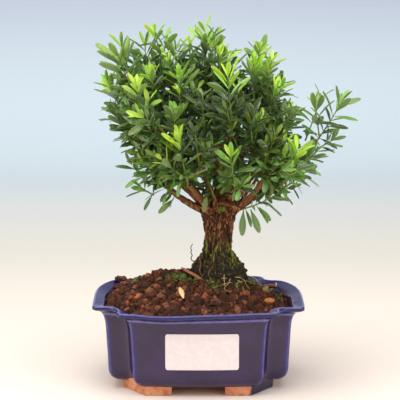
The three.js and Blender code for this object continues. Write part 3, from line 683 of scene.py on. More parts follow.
@dataclass(frozen=True)
class Bark:
    """Orange-brown bark above, olive with lichen down the trunk, dark and mossy at its foot."""

    warm: Colour = linear(76, 40, 19)
    pale: Colour = linear(164, 114, 70)
    crack: Colour = linear(20, 13, 9)
    lichen: Colour = linear(122, 122, 48)
    shade: Colour = linear(50, 37, 20)
    root: Colour = linear(36, 27, 18)
    moss: Colour = linear(66, 74, 24)
    twig: Colour = linear(132, 88, 54)
    green: Colour = linear(116, 142, 52)

    def material(self) -> bpy.types.Material:
        """The bark of the trunk, limbs and twigs, by height and by the marks of the mesh."""
        sheet = Sheet("boxwood_bark")
        high = sheet.along("Z")
        strands = sheet.grain(1.6, 5, (1, 1, 5))
        warm = sheet.blend(sheet.between(strands, 0.48, 0.62), self.warm, self.pale)
        streaks = sheet.between(sheet.grain(1.9, 4, (1, 1, 6)), 0.47, 0.6)
        olive = sheet.blend(streaks, self.shade, self.lichen)
        wander = sheet.sum("MULTIPLY_ADD", sheet.grain(6, 3, (1, 1, 2.5)), 30.0, -15.0)
        level = sheet.sum("ADD", high, wander)
        colour = sheet.blend(sheet.between(level, 92, 108), olive, warm)
        foot = sheet.blend(sheet.between(sheet.grain(3.5, 4), 0.54, 0.66), self.root, self.moss)
        colour = sheet.blend(sheet.between(level, 90, 80), colour, foot)
        colour = sheet.blend(sheet.between(high, 118, 140), colour, self.twig)
        # Darker bark in the fissures, deepened with painted shade where they sink in.
        hollow = sheet.between(sheet.mark("crack"), 0.35, 0.95)
        colour = sheet.blend(hollow, colour, self.crack, 0.92)
        colour = sheet.blend(sheet.between(sheet.mark("green"), 0.1, 0.8), colour, self.green)
        sheet.bump(sheet.grain(0.7, 5, (1, 1, 4)), 0.5)
        return sheet.done(colour, 0.85, Specular_IOR_Level=0.3)


@dataclass(frozen=True)
class LeafSkin:
    """Waxy leaves: dark green when grown, yellow-green when young, paler and duller underneath."""

    dark: Colour = linear(14, 37, 15)
    middle: Colour = linear(110, 160, 58)
    young: Colour = linear(192, 221, 50)
    lime: Colour = linear(122, 184, 42)
    under: Colour = linear(118, 144, 86)
    rib: Colour = linear(158, 186, 96)
    dead: Colour = linear(158, 104, 54)

    def material(self) -> bpy.types.Material:
        """The leaf's skin, from the blade's map and its marks youth, old, tint, underside and dead; old is
        painted shade that darkens the leaves inside the crown.
        """
        sheet = Sheet("boxwood_leaf")
        tint = sheet.mark("tint")
        # Painted shade: leaves half-way up in the middle of the crown are turned toward the dark green.
        old = sheet.mark("old")
        unshaded = sheet.sum("MULTIPLY_ADD", old, -0.9, 1.0)
        light = sheet.times(sheet.between(tint, 0.1, 1.05), unshaded)
        grown = sheet.blend(light, self.dark, self.middle)
        fresh = sheet.blend(tint, self.young, self.lime)
        youth = sheet.mark("youth")
        colour = sheet.blend(sheet.between(youth, 0.1, 0.9), grown, fresh)
        # Painted shade on the undersides there as well.
        underside_in_shade = sheet.blend(old, self.under, self.dark, 0.8)
        under = sheet.blend(sheet.between(youth, 0.3, 1.0), underside_in_shade, fresh)
        colour = sheet.blend(sheet.mark("underside"), colour, under)
        blade = sheet.add("ShaderNodeUVMap", uv_map="blade").outputs["UV"]
        across = sheet.add("ShaderNodeSeparateXYZ", {"Vector": blade})
        off_rib = sheet.sum("ABSOLUTE", sheet.sum("SUBTRACT", across.outputs["X"], 0.5))
        rib = sheet.between(off_rib, 0.07, 0.02)
        colour = sheet.blend(rib, colour, self.rib, 0.45)
        margin = sheet.between(off_rib, 0.42, 0.5)
        colour = sheet.blend(margin, colour, self.rib, 0.3)
        blotch = sheet.between(sheet.grain(3, 3), 0.3, 0.7)
        colour = sheet.blend(blotch, colour, self.middle, 0.1)
        colour = sheet.blend(sheet.mark("dead"), colour, self.dead)
        slant = sheet.sum("MULTIPLY_ADD", off_rib, -3.0, sheet.times(across.outputs["Y"], 12.0))
        veins = sheet.sum("SINE", sheet.times(slant, math.tau))
        sheet.bump(sheet.sum("MULTIPLY_ADD", veins, 0.15, sheet.times(rib, -1.0)), 0.15)
        roughness = sheet.sum("MULTIPLY_ADD", sheet.mark("underside"), 0.3, 0.3)
        constants = {"Subsurface_Weight": 0.25, "Subsurface_Scale": 0.0012, "Specular_IOR_Level": 0.65}
        return sheet.done(colour, roughness, Subsurface_Radius=(0.3, 0.6, 0.15), **constants)


@dataclass(frozen=True)
class Grains:
    """Clay granules from near black to rust and pinkish brown, each with its own tint, some under moss."""

    black: Colour = linear(50, 29, 20)
    dark: Colour = linear(64, 36, 24)
    brown: Colour = linear(98, 54, 34)
    pink: Colour = linear(138, 84, 60)
    rust: Colour = linear(142, 80, 44)
    moss: Colour = linear(38, 36, 16)

    def material(self) -> bpy.types.Material:
        """The granules' rough skin."""
        sheet = Sheet("clay_granules")
        tones = [(0.0, self.black), (0.3, self.dark), (0.62, self.brown), (0.82, self.dark), (0.9, self.pink),
                 (1.0, self.rust)]
        colour = sheet.tones(sheet.mark("tint"), *tones)
        dust = sheet.between(sheet.grain(1.2, 5), 0.4, 0.7)
        colour = sheet.blend(dust, colour, self.black, 0.45)
        moss = sheet.between(sheet.grain(4, 4), 0.62, 0.4)
        colour = sheet.blend(sheet.times(sheet.mark("mossy"), moss), colour, self.moss)
        sheet.bump(sheet.grain(0.5, 5), 0.4)
        return sheet.done(colour, 0.95, Specular_IOR_Level=0.25)


@dataclass(frozen=True)
class Plain:
    """A finish of two close colours in soft noise, with a fine bump."""

    name: str
    first: Colour
    second: Colour
    grain: float
    depth: float
    roughness: float
    metallic: float = 0.0
    stretch: Triple = (1, 1, 1)

    def material(self) -> bpy.types.Material:
        """The finish as a material."""
        sheet = Sheet(self.name)
        tone = sheet.grain(self.grain, 4, self.stretch)
        colour = sheet.blend(sheet.between(tone, 0.35, 0.65), self.first, self.second)
        sheet.bump(tone, self.depth)
        return sheet.done(colour, self.roughness, Metallic=self.metallic)


@dataclass(frozen=True)
class Sweep:
    """The backdrop's colour: cream round the pot, greyer behind it, pale blue further back and darker
    blue-grey higher; the greying and darkening are painted falloff of light.
    """

    near: Colour = linear(220, 207, 196)
    behind: Colour = linear(192, 188, 178)
    far: Colour = linear(190, 204, 210)
    high: Colour = linear(144, 144, 168)

    def material(self) -> bpy.types.Material:
        """The colour with its painted light falloff, by how far back and how high a spot is."""
        sheet = Sheet("studio_backdrop")
        away = sheet.along("Y")
        # Painted falloff of light: greyer behind the pot, and darker further up the backdrop.
        colour = sheet.blend(sheet.between(away, -150, 450), self.near, self.behind)
        colour = sheet.blend(sheet.between(away, 350, 1100), colour, self.far)
        colour = sheet.blend(sheet.between(sheet.along("Z"), 30, 400), colour, self.high)
        return sheet.done(colour, 0.9, Specular_IOR_Level=0.1)


class Trim(Enum):
    """The finishes of the small things."""

    MOSS = Plain("moss", linear(46, 56, 20), linear(122, 132, 52), 3.0, 0.1, 0.9)
    BARK_ROOT = Plain("bark_root", linear(64, 38, 24), linear(118, 80, 52), 1.2, 0.2, 0.8)
    ROOTLET = Plain("rootlet", linear(176, 138, 84), linear(206, 182, 120), 1.0, 0.05, 0.8)
    STRAND = Plain("dead_strand", linear(52, 44, 34), linear(84, 74, 54), 1.0, 0.1, 0.9)
    RUST_STONE = Plain("rust_stone", linear(150, 84, 44), linear(186, 112, 62), 2.2, 0.4, 0.95)
    TAN_STONE = Plain("tan_stone", linear(112, 88, 48), linear(152, 124, 76), 1.8, 0.45, 0.95)
    DULL_STONE = Plain("dull_stone", linear(58, 33, 23), linear(98, 58, 40), 2.0, 0.45, 0.95)
    RED_STONE = Plain("red_stone", linear(88, 48, 32), linear(126, 74, 50), 2.0, 0.45, 0.95)
    CRUMB = Plain("white_crumb", linear(226, 218, 214), linear(250, 246, 244), 1.0, 0.1, 0.7)
    CHIP = Plain("bark_chip", linear(128, 70, 42), linear(176, 108, 68), 0.7, 0.25, 0.85)
    HUSK = Plain("seed_husk", linear(208, 164, 112), linear(232, 196, 146), 0.8, 0.1, 0.75)
    EARTH = Plain("earth", linear(38, 24, 16), linear(72, 44, 28), 2.0, 0.4, 0.95)
    PAPER = Plain("label_paper", linear(214, 204, 204), linear(221, 210, 211), 3.0, 0.01, 0.55)
    PLASTIC = Plain("mesh_plastic", linear(28, 32, 28), linear(40, 44, 38), 1.0, 0.03, 0.5)
    WIRE = Plain("aluminium_wire", linear(166, 167, 170), linear(190, 190, 192), 0.6, 0.02, 0.32, 1.0)

    def material(self) -> bpy.types.Material:
        """The finish as a material."""
        return self.value.material()


@dataclass(frozen=True)
class Corner:
    """A corner of the pot: how far the side by it bows out, its notch, and the roundings beside that."""

    bow: float
    notch: tuple[float, float]
    hollow: tuple[float, float]
    shoulder: tuple[float, float]
    sweep: tuple[float, float]


@dataclass
class Pot:
    """The glazed pot: a wall lofted through notched outlines, four clay feet and two drain holes."""

    place: Place
    length: float = 144
    width: float = 120
    end_bow: float = 1.4
    sweep_depth: float = 34
    lip_roundness: float = 2.5
    front_corner: Corner = Corner(4, (17, 16.5), (7, 8), (0, 0), (0, 0))
    back_corner: Corner = Corner(2, (23, 13.5), (9, 7.5), (3, 2.5), (11.5, 38))
    underside: float = 6
    floor: float = 11
    hole_radius: float = 7
    hole_x: float = 28
    arc_steps: int = 7
    end_points: tuple[float, ...] = (0.0, 0.35, 0.7)
    side_points: tuple[float, ...] = (0.88, 0.76, 0.64, 0.52, 0.4, 0.28, 0.16, 0.05)
    wall: list[Triple] = field(default_factory=lambda: [
        (6, 17, 3), (6.2, 15.2, 3.3), (6.8, 13.8, 3.5), (9, 11.4, 4), (13.5, 9.8, 4), (24, 9.3, 4),
        (35, 8.7, 4), (46, 8.1, 4), (50.3, 7.3, 4), (52.3, 6.7, 3.5), (54.6, 5.3, 3), (56, 3.4, 3),
        (56.9, 1.3, 2.5), (57.7, 0.25, 2.5), (58.8, 0, 2.5), (59.6, 0.4, 2.5), (60, 1.3, 2.5),
        (59.8, 2.2, 3), (59.3, 3.6, 4), (58.7, 5.2, 6), (58, 6.8, 7), (57, 7.7, 7), (55.5, 8.7, 6.7),
        (53, 9.8, 6), (49, 12, 5), (30, 13.3, 4), (15, 14.6, 4), (11.6, 16, 3.5), (11, 17.5, 3),
    ])
    foot_outline: list[tuple[float, float]] = field(default_factory=lambda: [
        (17, 43), (17, 32), (29, 32), (41, 18), (41, 9), (52, 9), (52, 21.5), (35.5, 43),
    ])
    foot_middle: tuple[float, float] = (34.5, 29)
    foot_levels: tuple[tuple[float, float], ...] = ((0, 0.9), (0.35, 0.925), (1.0, 0.935), (9.5, 0.985))
    specked: tuple[tuple[float, float], ...] = ((-38, 33), (31, 34))
    label_edges: tuple[float, float, float, float] = (-21.9, 26.9, 20.0, 44.8)
    label_rounding: float = 1.6
    label_rows: int = 6

    def outline(self, inset: float, roundness: float) -> list[Triple]:
        """The notched outline at one level, counter-clockwise.

        Args:
            inset: How far it lies inside the rim's outline.
            roundness: The radius of its outer corners.

        Returns:
            X, Y and how near the point is to the middle of an outer corner, from 0 to 1.
        """
        back = self.quarter(self.back_corner, inset, roundness)
        front = self.quarter(self.front_corner, inset, roundness)
        turned = [
            back,
            [(-x, y, edge) for x, y, edge in reversed(back)],
            [(-x, -y, edge) for x, y, edge in front],
            [(x, -y, edge) for x, y, edge in reversed(front)],
        ]
        return [point for side in turned for point in side]

    def bowed(self, bow: float, inset: float, share: float) -> float:
        """How far a side is bowed out at a share of the way from its middle to its notch."""
        return bow * (1 - inset / self.sweep_depth) * max(0.0, 1 - share ** 2)

    def quarter(self, corner: Corner, inset: float, roundness: float) -> list[Triple]:
        """A quarter of the outline, from the middle of the right end to the middle of the side at +Y.

        Args:
            corner: The notched corner in this quarter.
            inset: How far inside the lip it runs.
            roundness: How rounded the corners are.

        Returns:
            Points along it, each with how near an outer corner it is, from 0 to 1.
        """
        length = self.length / 2 - self.end_bow - inset
        width = self.width / 2 - corner.bow - inset
        side_x, side_y = length - corner.notch[0], width - corner.notch[1]
        share = 1 - inset / self.sweep_depth
        wider = 0.8 * (roundness - self.lip_roundness)
        end_x, end_y = (roundness + more * share for more in corner.sweep)
        shoulder_x, shoulder_y = (roundness + more * share for more in corner.shoulder)
        hollow_x = min(corner.hollow[0] + wider, corner.notch[0] - end_x - 0.2)
        hollow_y = corner.hollow[1] + wider
        fit = min(1.0, (corner.notch[1] - 0.3) / (shoulder_y + hollow_y))
        shoulder_y, hollow_y = shoulder_y * fit, hollow_y * fit
        arcs = [
            (length - end_x, side_y - end_y, end_x, end_y, 0, 90, 1.0),
            (side_x + hollow_x, side_y + hollow_y, hollow_x, hollow_y, 270, 180, 0.0),
            (side_x - shoulder_x, width - shoulder_y, shoulder_x, shoulder_y, 0, 90, 1.0),
        ]
        points = [(length, (side_y - end_y) * part, 0.0) for part in self.end_points]
        for x, y, radius_x, radius_y, first, last, edge in arcs:
            for step in range(self.arc_steps):
                place = step / (self.arc_steps - 1)
                turn = math.radians(mix(first, last, place))
                nearness = edge * (1 - abs(2 * place - 1) * 0.6) * min(1, 2 * roundness / radius_x)
                points.append((x + radius_x * math.cos(turn), y + radius_y * math.sin(turn), nearness))
        points += [((side_x - shoulder_x) * part, width, 0.0) for part in self.side_points]
        bowed = []
        for x, y, edge in points:
            end_bow = self.bowed(self.end_bow, inset, y / side_y)
            bowed.append((x + end_bow, y + self.bowed(corner.bow, inset, x / side_x), edge))
        return bowed

    def front_at(self, x: float, z: float) -> Vector:
        """A point of the front wall between its foot and the curve under the lip."""
        corner = self.front_corner
        inset = mix(9.8, 8.1, (z - 13.5) / 32.5)
        side_x = self.length / 2 - self.end_bow - inset - corner.notch[0]
        out = self.width / 2 - corner.bow - inset + self.bowed(corner.bow, inset, x / side_x)
        return Vector((x, -out, z))

    def levels(self) -> list[Triple]:
        """The wall's profile with a smooth curve put through its points."""
        return [tuple(level) for level in interpolated([Vector(level) for level in self.wall], 3)]

    def shell(self) -> bpy.types.Object:
        """The glazed body with its drain holes cut."""
        draft = Draft()
        rings = []
        for z, inset, roundness in self.levels():
            # Painted highlight: a pale line along the lip's rounded crest.
            lip_highlight = eased(59.3, 59.9, z) * (1 - eased(1.5, 2.0, inset)) * 0.85
            lip = eased(55, 56.5, z) * (1 - eased(5.5, 8.5, inset))
            # Painted reflection: a pale violet band, the floor's reflection, where the wall curves out under
            # the lip.
            band = eased(51.8, 53.3, z) * (1 - eased(54.4, 55.6, z)) * float(inset < 7.8)
            ring = []
            for x, y, edge in self.outline(inset, roundness):
                swell = 1 + 0.006 * eased(30, 58, z) * noise.noise(Vector((x, y, 40)) / 30)
                point = Vector((x * swell, y * swell, z + self.wave(x, y) * eased(46, 58, z)))
                # The corner term is the glaze running thin on the outer corners together with a painted
                # highlight there; the lip and band terms are painted light only.
                thin = max(lip_highlight, 0.7 * edge ** 2 * eased(7, 12, z) * (1 - eased(50, 54, z)), 0.85 * band)
                spots = [math.exp(-((x - u) / 7) ** 2 - ((z - w) / 10) ** 2) for u, w in self.specked]
                ring += draft.add([point], thin=thin, lip=lip, specked=max(spots) if y < 0 else 0.0)
            rings.append(ring)
        draft.skin(rings)
        draft.close(rings)
        shell = draft.build("pot_shell", self.place)
        for side in (-1, 1):
            self.drill(shell, side * self.hole_x)
        shell.data.materials.append(Glaze().material())
        shell.data.materials.append(BareClay().material())
        for face in shell.data.polygons:
            face.material_index = int(self.unglazed(self.place.back(face.center)))
        return shell

    def unglazed(self, spot: Vector) -> bool:
        """Whether a spot is bare clay: the underside, and the walls of the drain holes."""
        off_hole = abs(math.hypot(abs(spot.x) - self.hole_x, spot.y) - self.hole_radius)
        return spot.z < self.underside + 0.4 or (spot.z < self.floor - 0.2 and off_hole < 0.4)

    def wave(self, x: float, y: float) -> float:
        """How far the lip wanders up or down from level, as fired clay does."""
        front = -1.3 * math.exp(-((x + 22) / 20) ** 2) + 0.6 * eased(20, 45, x) * (1 - eased(52, 58, x))
        corners = 0.8 * eased(-52, -60, x)
        return 0.4 * noise.noise(Vector((x, y, 0)) / 19) + (front if y < -30 else 0.0) + corners

    def drill(self, shell: bpy.types.Object, x: float) -> None:
        """Cuts one drain hole through the floor.

        Args:
            shell: The glazed body.
            x: How far right of the middle the hole lies.
        """
        draft = Draft()
        round_hole = [
            (x + self.hole_radius * math.cos(turn), self.hole_radius * math.sin(turn))
            for turn in (math.tau * k / 32 for k in range(32))
        ]
        rings = [draft.add(Vector((*spot, z)) for spot in round_hole) for z in (0, self.floor + 4)]
        draft.skin(rings)
        draft.close(rings)
        bit = draft.build("drill", self.place)
        cut = shell.modifiers.new("hole", "BOOLEAN")
        cut.operation = "DIFFERENCE"
        cut.object = bit
        baked(shell)
        bpy.data.objects.remove(bit)
        shell.data.shade_smooth()
        shell.data.set_sharp_from_angle(angle=math.radians(50))

    def feet(self) -> bpy.types.Object:
        """The four feet, with rounded edges and their undersides drawn in a little."""
        draft = Draft()
        middle_x, middle_y = self.foot_middle
        for sign_x, sign_y in ((1, 1), (-1, 1), (-1, -1), (1, -1)):
            rings = []
            corners = self.foot_outline if sign_x * sign_y > 0 else self.foot_outline[::-1]
            for z, share in self.foot_levels:
                ring = []
                for x, y in corners:
                    glazed = (x - 25) / 20 if sign_x > 0 > sign_y else 0.0
                    drawn_x = middle_x + (x - middle_x) * share
                    drawn_y = middle_y + (y - middle_y) * share
                    ring += draft.add([Vector((drawn_x * sign_x, drawn_y * sign_y, z))], glazed=glazed)
                rings.append(ring[::-1])
            draft.skin(rings)
            draft.close(rings)
        feet = draft.build("pot_feet", self.place)
        bevel = feet.modifiers.new("worn_edges", "BEVEL")
        bevel.width = 0.7 * MM
        bevel.segments = 3
        bevel.limit_method = "ANGLE"
        baked(feet)
        feet.data.set_sharp_from_angle(angle=math.radians(45))
        feet.data.materials.append(BareClay().material())
        return feet

    def label(self) -> bpy.types.Object:
        """The blank paper label, bent to the front wall, with rounded corners."""
        draft = Draft()
        left, right, low, high = self.label_edges
        bend, parts = self.label_rounding, self.label_rows
        columns = [left, *(left + bend * share for share in (0.3, 0.65, 1.0)), *range(-18, 24, 3)]
        columns += [right - bend * share for share in (1.0, 0.65, 0.3)] + [right]
        rows = []
        for lift in (0.1, 0.5):
            for x in columns:
                off = max(left + bend - x, x - (right - bend), 0.0)
                cut = bend - math.sqrt(max(bend * bend - off * off, 0.0))
                heights = [mix(low + cut, high - cut, part / parts) for part in range(parts + 1)]
                rows.append(draft.add(self.front_at(x, z) - Vector((0, lift, 0)) for z in heights))
        inner, outer = rows[:len(columns)], rows[len(columns):]
        for sheet, turned in ((outer, False), (inner, True)):
            for first, second in zip(sheet, sheet[1:]):
                for k in range(parts):
                    face = (first[k], second[k], second[k + 1], first[k + 1])
                    draft.faces.append(face[::-1] if turned else face)
        draft.skin([
            [row[0] for row in sheet] + sheet[-1][1:]
            + [row[-1] for row in sheet[-2::-1]] + sheet[0][parts - 1:0:-1]
            for sheet in (inner, outer)
        ])
        return draft.build("bare_label", self.place, Trim.PAPER, smooth=False)

    def make(self) -> None:
        """Builds, dresses and settles the pot and its label."""
        settle(self.shell(), "glazed_pot", ["pot"])
        settle(self.feet(), "glazed_pot")
        settle(self.label(), "label_paper", ["blank_label"])


@dataclass(frozen=True)
class Layer:
    """One strewing of granules: its name, spacing, least and greatest size, depth and seed."""

    name: str
    spacing: float
    smallest: float
    largest: float
    depth: float
    seed: int
    fine: bool = False


def lump(name: str, kind: int, fineness: int, squash: float = 0.78) -> bpy.types.Object:
    """A rough granule of unit size.

    Args:
        name: The object's name.
        kind: Which of the endless shapes it has.
        fineness: 1 for 20 faces, 2 for 80.
        squash: Its height as a share of its width.

    Returns:
        The granule, in no collection yet.
    """
    mesh = bpy.data.meshes.new(name)
    rough = bmesh.new()
    bmesh.ops.create_icosphere(rough, subdivisions=fineness, radius=0.5)
    for vertex in rough.verts:
        way = vertex.co.normalized()
        worn = 1 + 0.55 * noise.noise(way * 1.4 + Vector((kind * 7.1, 0, 0)))
        worn += 0.26 * noise.noise(way * 3.1 + Vector((0, kind * 5.3, 0)))
        vertex.co = Vector((way.x, way.y * 0.9, way.z * squash)) * 0.5 * worn
    rough.to_mesh(mesh)
    rough.free()
    mesh.shade_smooth()
    mesh.set_sharp_from_angle(angle=math.radians(30))
    return bpy.data.objects.new(name, mesh)


def gathered(name: str, shapes: Iterable[bpy.types.Object]) -> bpy.types.Collection:
    """Puts shapes into a new collection that a recipe can strew from."""
    group = bpy.data.collections.new(name)
    bpy.context.scene.collection.children.link(group)
    for shape in shapes:
        group.objects.link(shape)
    return group


def discarded(group: bpy.types.Collection) -> None:
    """Removes a collection with its shapes."""
    for shape in list(group.objects):
        bpy.data.objects.remove(shape)
    bpy.data.collections.remove(group)


@dataclass
class Soil:
    """The mound of clay granules."""

    place: Place
    pot: Pot
    edge_z: float = 55.5
    mound: float = 19.5
    middle: tuple[float, float] = (2, 3)
    spread_left: float = 47
    spread_right: float = 36
    spread_front: float = 34
    spread_back: float = 31
    fall: float = 0.64
    steepness: float = 1.85
    sunk_at_right: float = 2.5
    swells: tuple[tuple[float, float, float, float], ...] = ((40, 3, 9, 2.6), (-34, 14, 15, 2.0))
    rings: int = 34
    seed: int = 11
    stem: tuple[float, float] = (14, 2)
    bare_radius: float = 13
    size_in_front: float = 1.25
    size_behind: float = 0.7
    finer_at: tuple[float, float] = (43, -20)
    layers: tuple[Layer, ...] = (
        Layer("large_granules", 5.4, 4.0, 8.0, 1.3, 1),
        Layer("granules", 2.5, 2.0, 4.6, 1.0, 2),
        Layer("fine_granules", 1.5, 0.9, 2.2, 0.6, 3, True),
    )

    def top(self, x: float, y: float) -> float:
        """The mound's height at a spot, without its granules."""
        across = (x - self.middle[0]) / (self.spread_left if x < self.middle[0] else self.spread_right)
        deep = (y - self.middle[1]) / (self.spread_front if y < self.middle[1] else self.spread_back)
        height = self.mound * math.exp(-self.fall * (across ** 2 + deep ** 2) ** self.steepness)
        swell = sum(rise * math.exp(-((x - u) ** 2 + (y - v) ** 2) / r ** 2) for u, v, r, rise in self.swells)
        return self.edge_z + height + swell - self.sunk_at_right * eased(53, 62, x)

    def on_top(self, x: float, y: float, lift: float = 0.0) -> Vector:
        """The point over a spot, lifted off the mound by so much."""
        return Vector((x, y, self.top(x, y) + lift))

    def off_stem(self, x: float, y: float) -> float:
        """How far a spot lies from the trunk's axis."""
        return math.hypot(x - self.stem[0], y - self.stem[1])

    def coarse(self, x: float, y: float) -> float:
        """How much larger than usual the granules are at a spot: most in front, less round one spot."""
        finer = 0.35 * math.exp(-((x - self.finer_at[0]) ** 2 + (y - self.finer_at[1]) ** 2) / 50)
        behind = eased(-38, 25, y + 0.35 * min(x, 0))
        return mix(self.size_in_front, self.size_behind, behind) * (1 - finer)

    def cover(self, x: float, y: float) -> float:
        """1 where granules lie, 0 under the trunk."""
        return 1.0 if self.off_stem(x, y) > self.bare_radius else 0.0

    def mossy(self, x: float, y: float) -> float:
        """How much dark moss and humus lies at a spot, from 0 to 1: most at the trunk's left foot."""
        left = math.exp(-((x + 12) / 15) ** 2 - ((y + 12) / 10) ** 2)
        around = 1 - eased(19, 27, self.off_stem(x, y))
        return min(1.0, 0.9 * left + 0.8 * around)

    def drawn_in(self, inset: float, spot: Callable[[float, float], list[int]]) -> list[list[int]]:
        """Rings of points over the mound, drawn in from the wall to the middle.

        Args:
            inset: How far inside the pot's rim the first ring lies.
            spot: Adds a point over a spot and gives its number.

        Returns:
            The numbers of the points in each ring.
        """
        rim = self.pot.outline(inset, 6.5)
        shares = [1 - step / self.rings for step in range(self.rings)]
        return [[number for x, y, _ in rim for number in spot(x * share, y * share)] for share in shares]

    def surface(self, name: str, depth: float, **marks: Callable[[float, float], float]) -> bpy.types.Object:
        """The mound's top.

        Args:
            name: The object's name.
            depth: How far it lies under the mound's own height.
            marks: For each mark how it varies over the mound.

        Returns:
            An open surface that carries the marks.
        """
        draft = Draft()

        def marked(x: float, y: float) -> list[int]:
            """Adds a point that carries the marks."""
            values = {mark: value(x, y) for mark, value in marks.items()}
            return draft.add([self.on_top(x, y, -depth)], **values)

        rings = self.drawn_in(9.8, marked)
        draft.skin(rings)
        draft.faces.append(tuple(rings[-1]))
        return draft.build(name, self.place)

    def body(self) -> bpy.types.Object:
        """The closed mass of soil inside the pot, rough on top."""
        draft = Draft()

        def rough(x: float, y: float) -> list[int]:
            """Adds a point of the rough top."""
            point = self.on_top(x, y)
            point.z += 1.4 * noise.noise(point / 2.2) - 1.9
            return draft.add([point])

        rings = []
        for z, inset, roundness in ((11.3, 17.8, 3), (15, 14.9, 4), (49, 12.3, 5), (51, 11.3, 6)):
            rings.append(draft.add(Vector((x, y, z)) for x, y, _ in self.pot.outline(inset, roundness)))
        rings += self.drawn_in(10.4, rough)
        draft.skin(rings)
        draft.close(rings)
        return draft.build("soil_body", self.place, Trim.EARTH)

    def make(self, scatter: Recipe) -> None:
        """Builds the soil and strews its granules.

        Args:
            scatter: The recipe that strews grains.
        """
        settle(self.body(), "soil", ["soil"])
        coarse_shapes = gathered("granules", [lump(f"granule_{kind}", kind, 2) for kind in range(5)])
        fine_shapes = gathered("crumbs", [lump(f"crumb_{kind}", kind, 1) for kind in range(5)])
        finish = Grains().material()
        for layer in self.layers:
            marks = {"cover": self.cover, "coarse": self.coarse, "mossy": self.mossy}
            surface = self.surface(layer.name, layer.depth, **marks)
            scatter.cook(
                surface, Grains=fine_shapes if layer.fine else coarse_shapes, Kinds=5,
                Spacing=layer.spacing * MM, Smallest=layer.smallest * MM, Largest=layer.largest * MM,
                Tilt=math.pi, Seed=self.seed + layer.seed, Finish=finish,
            )
            settle(surface, "soil")
        discarded(coarse_shapes)
        discarded(fine_shapes)


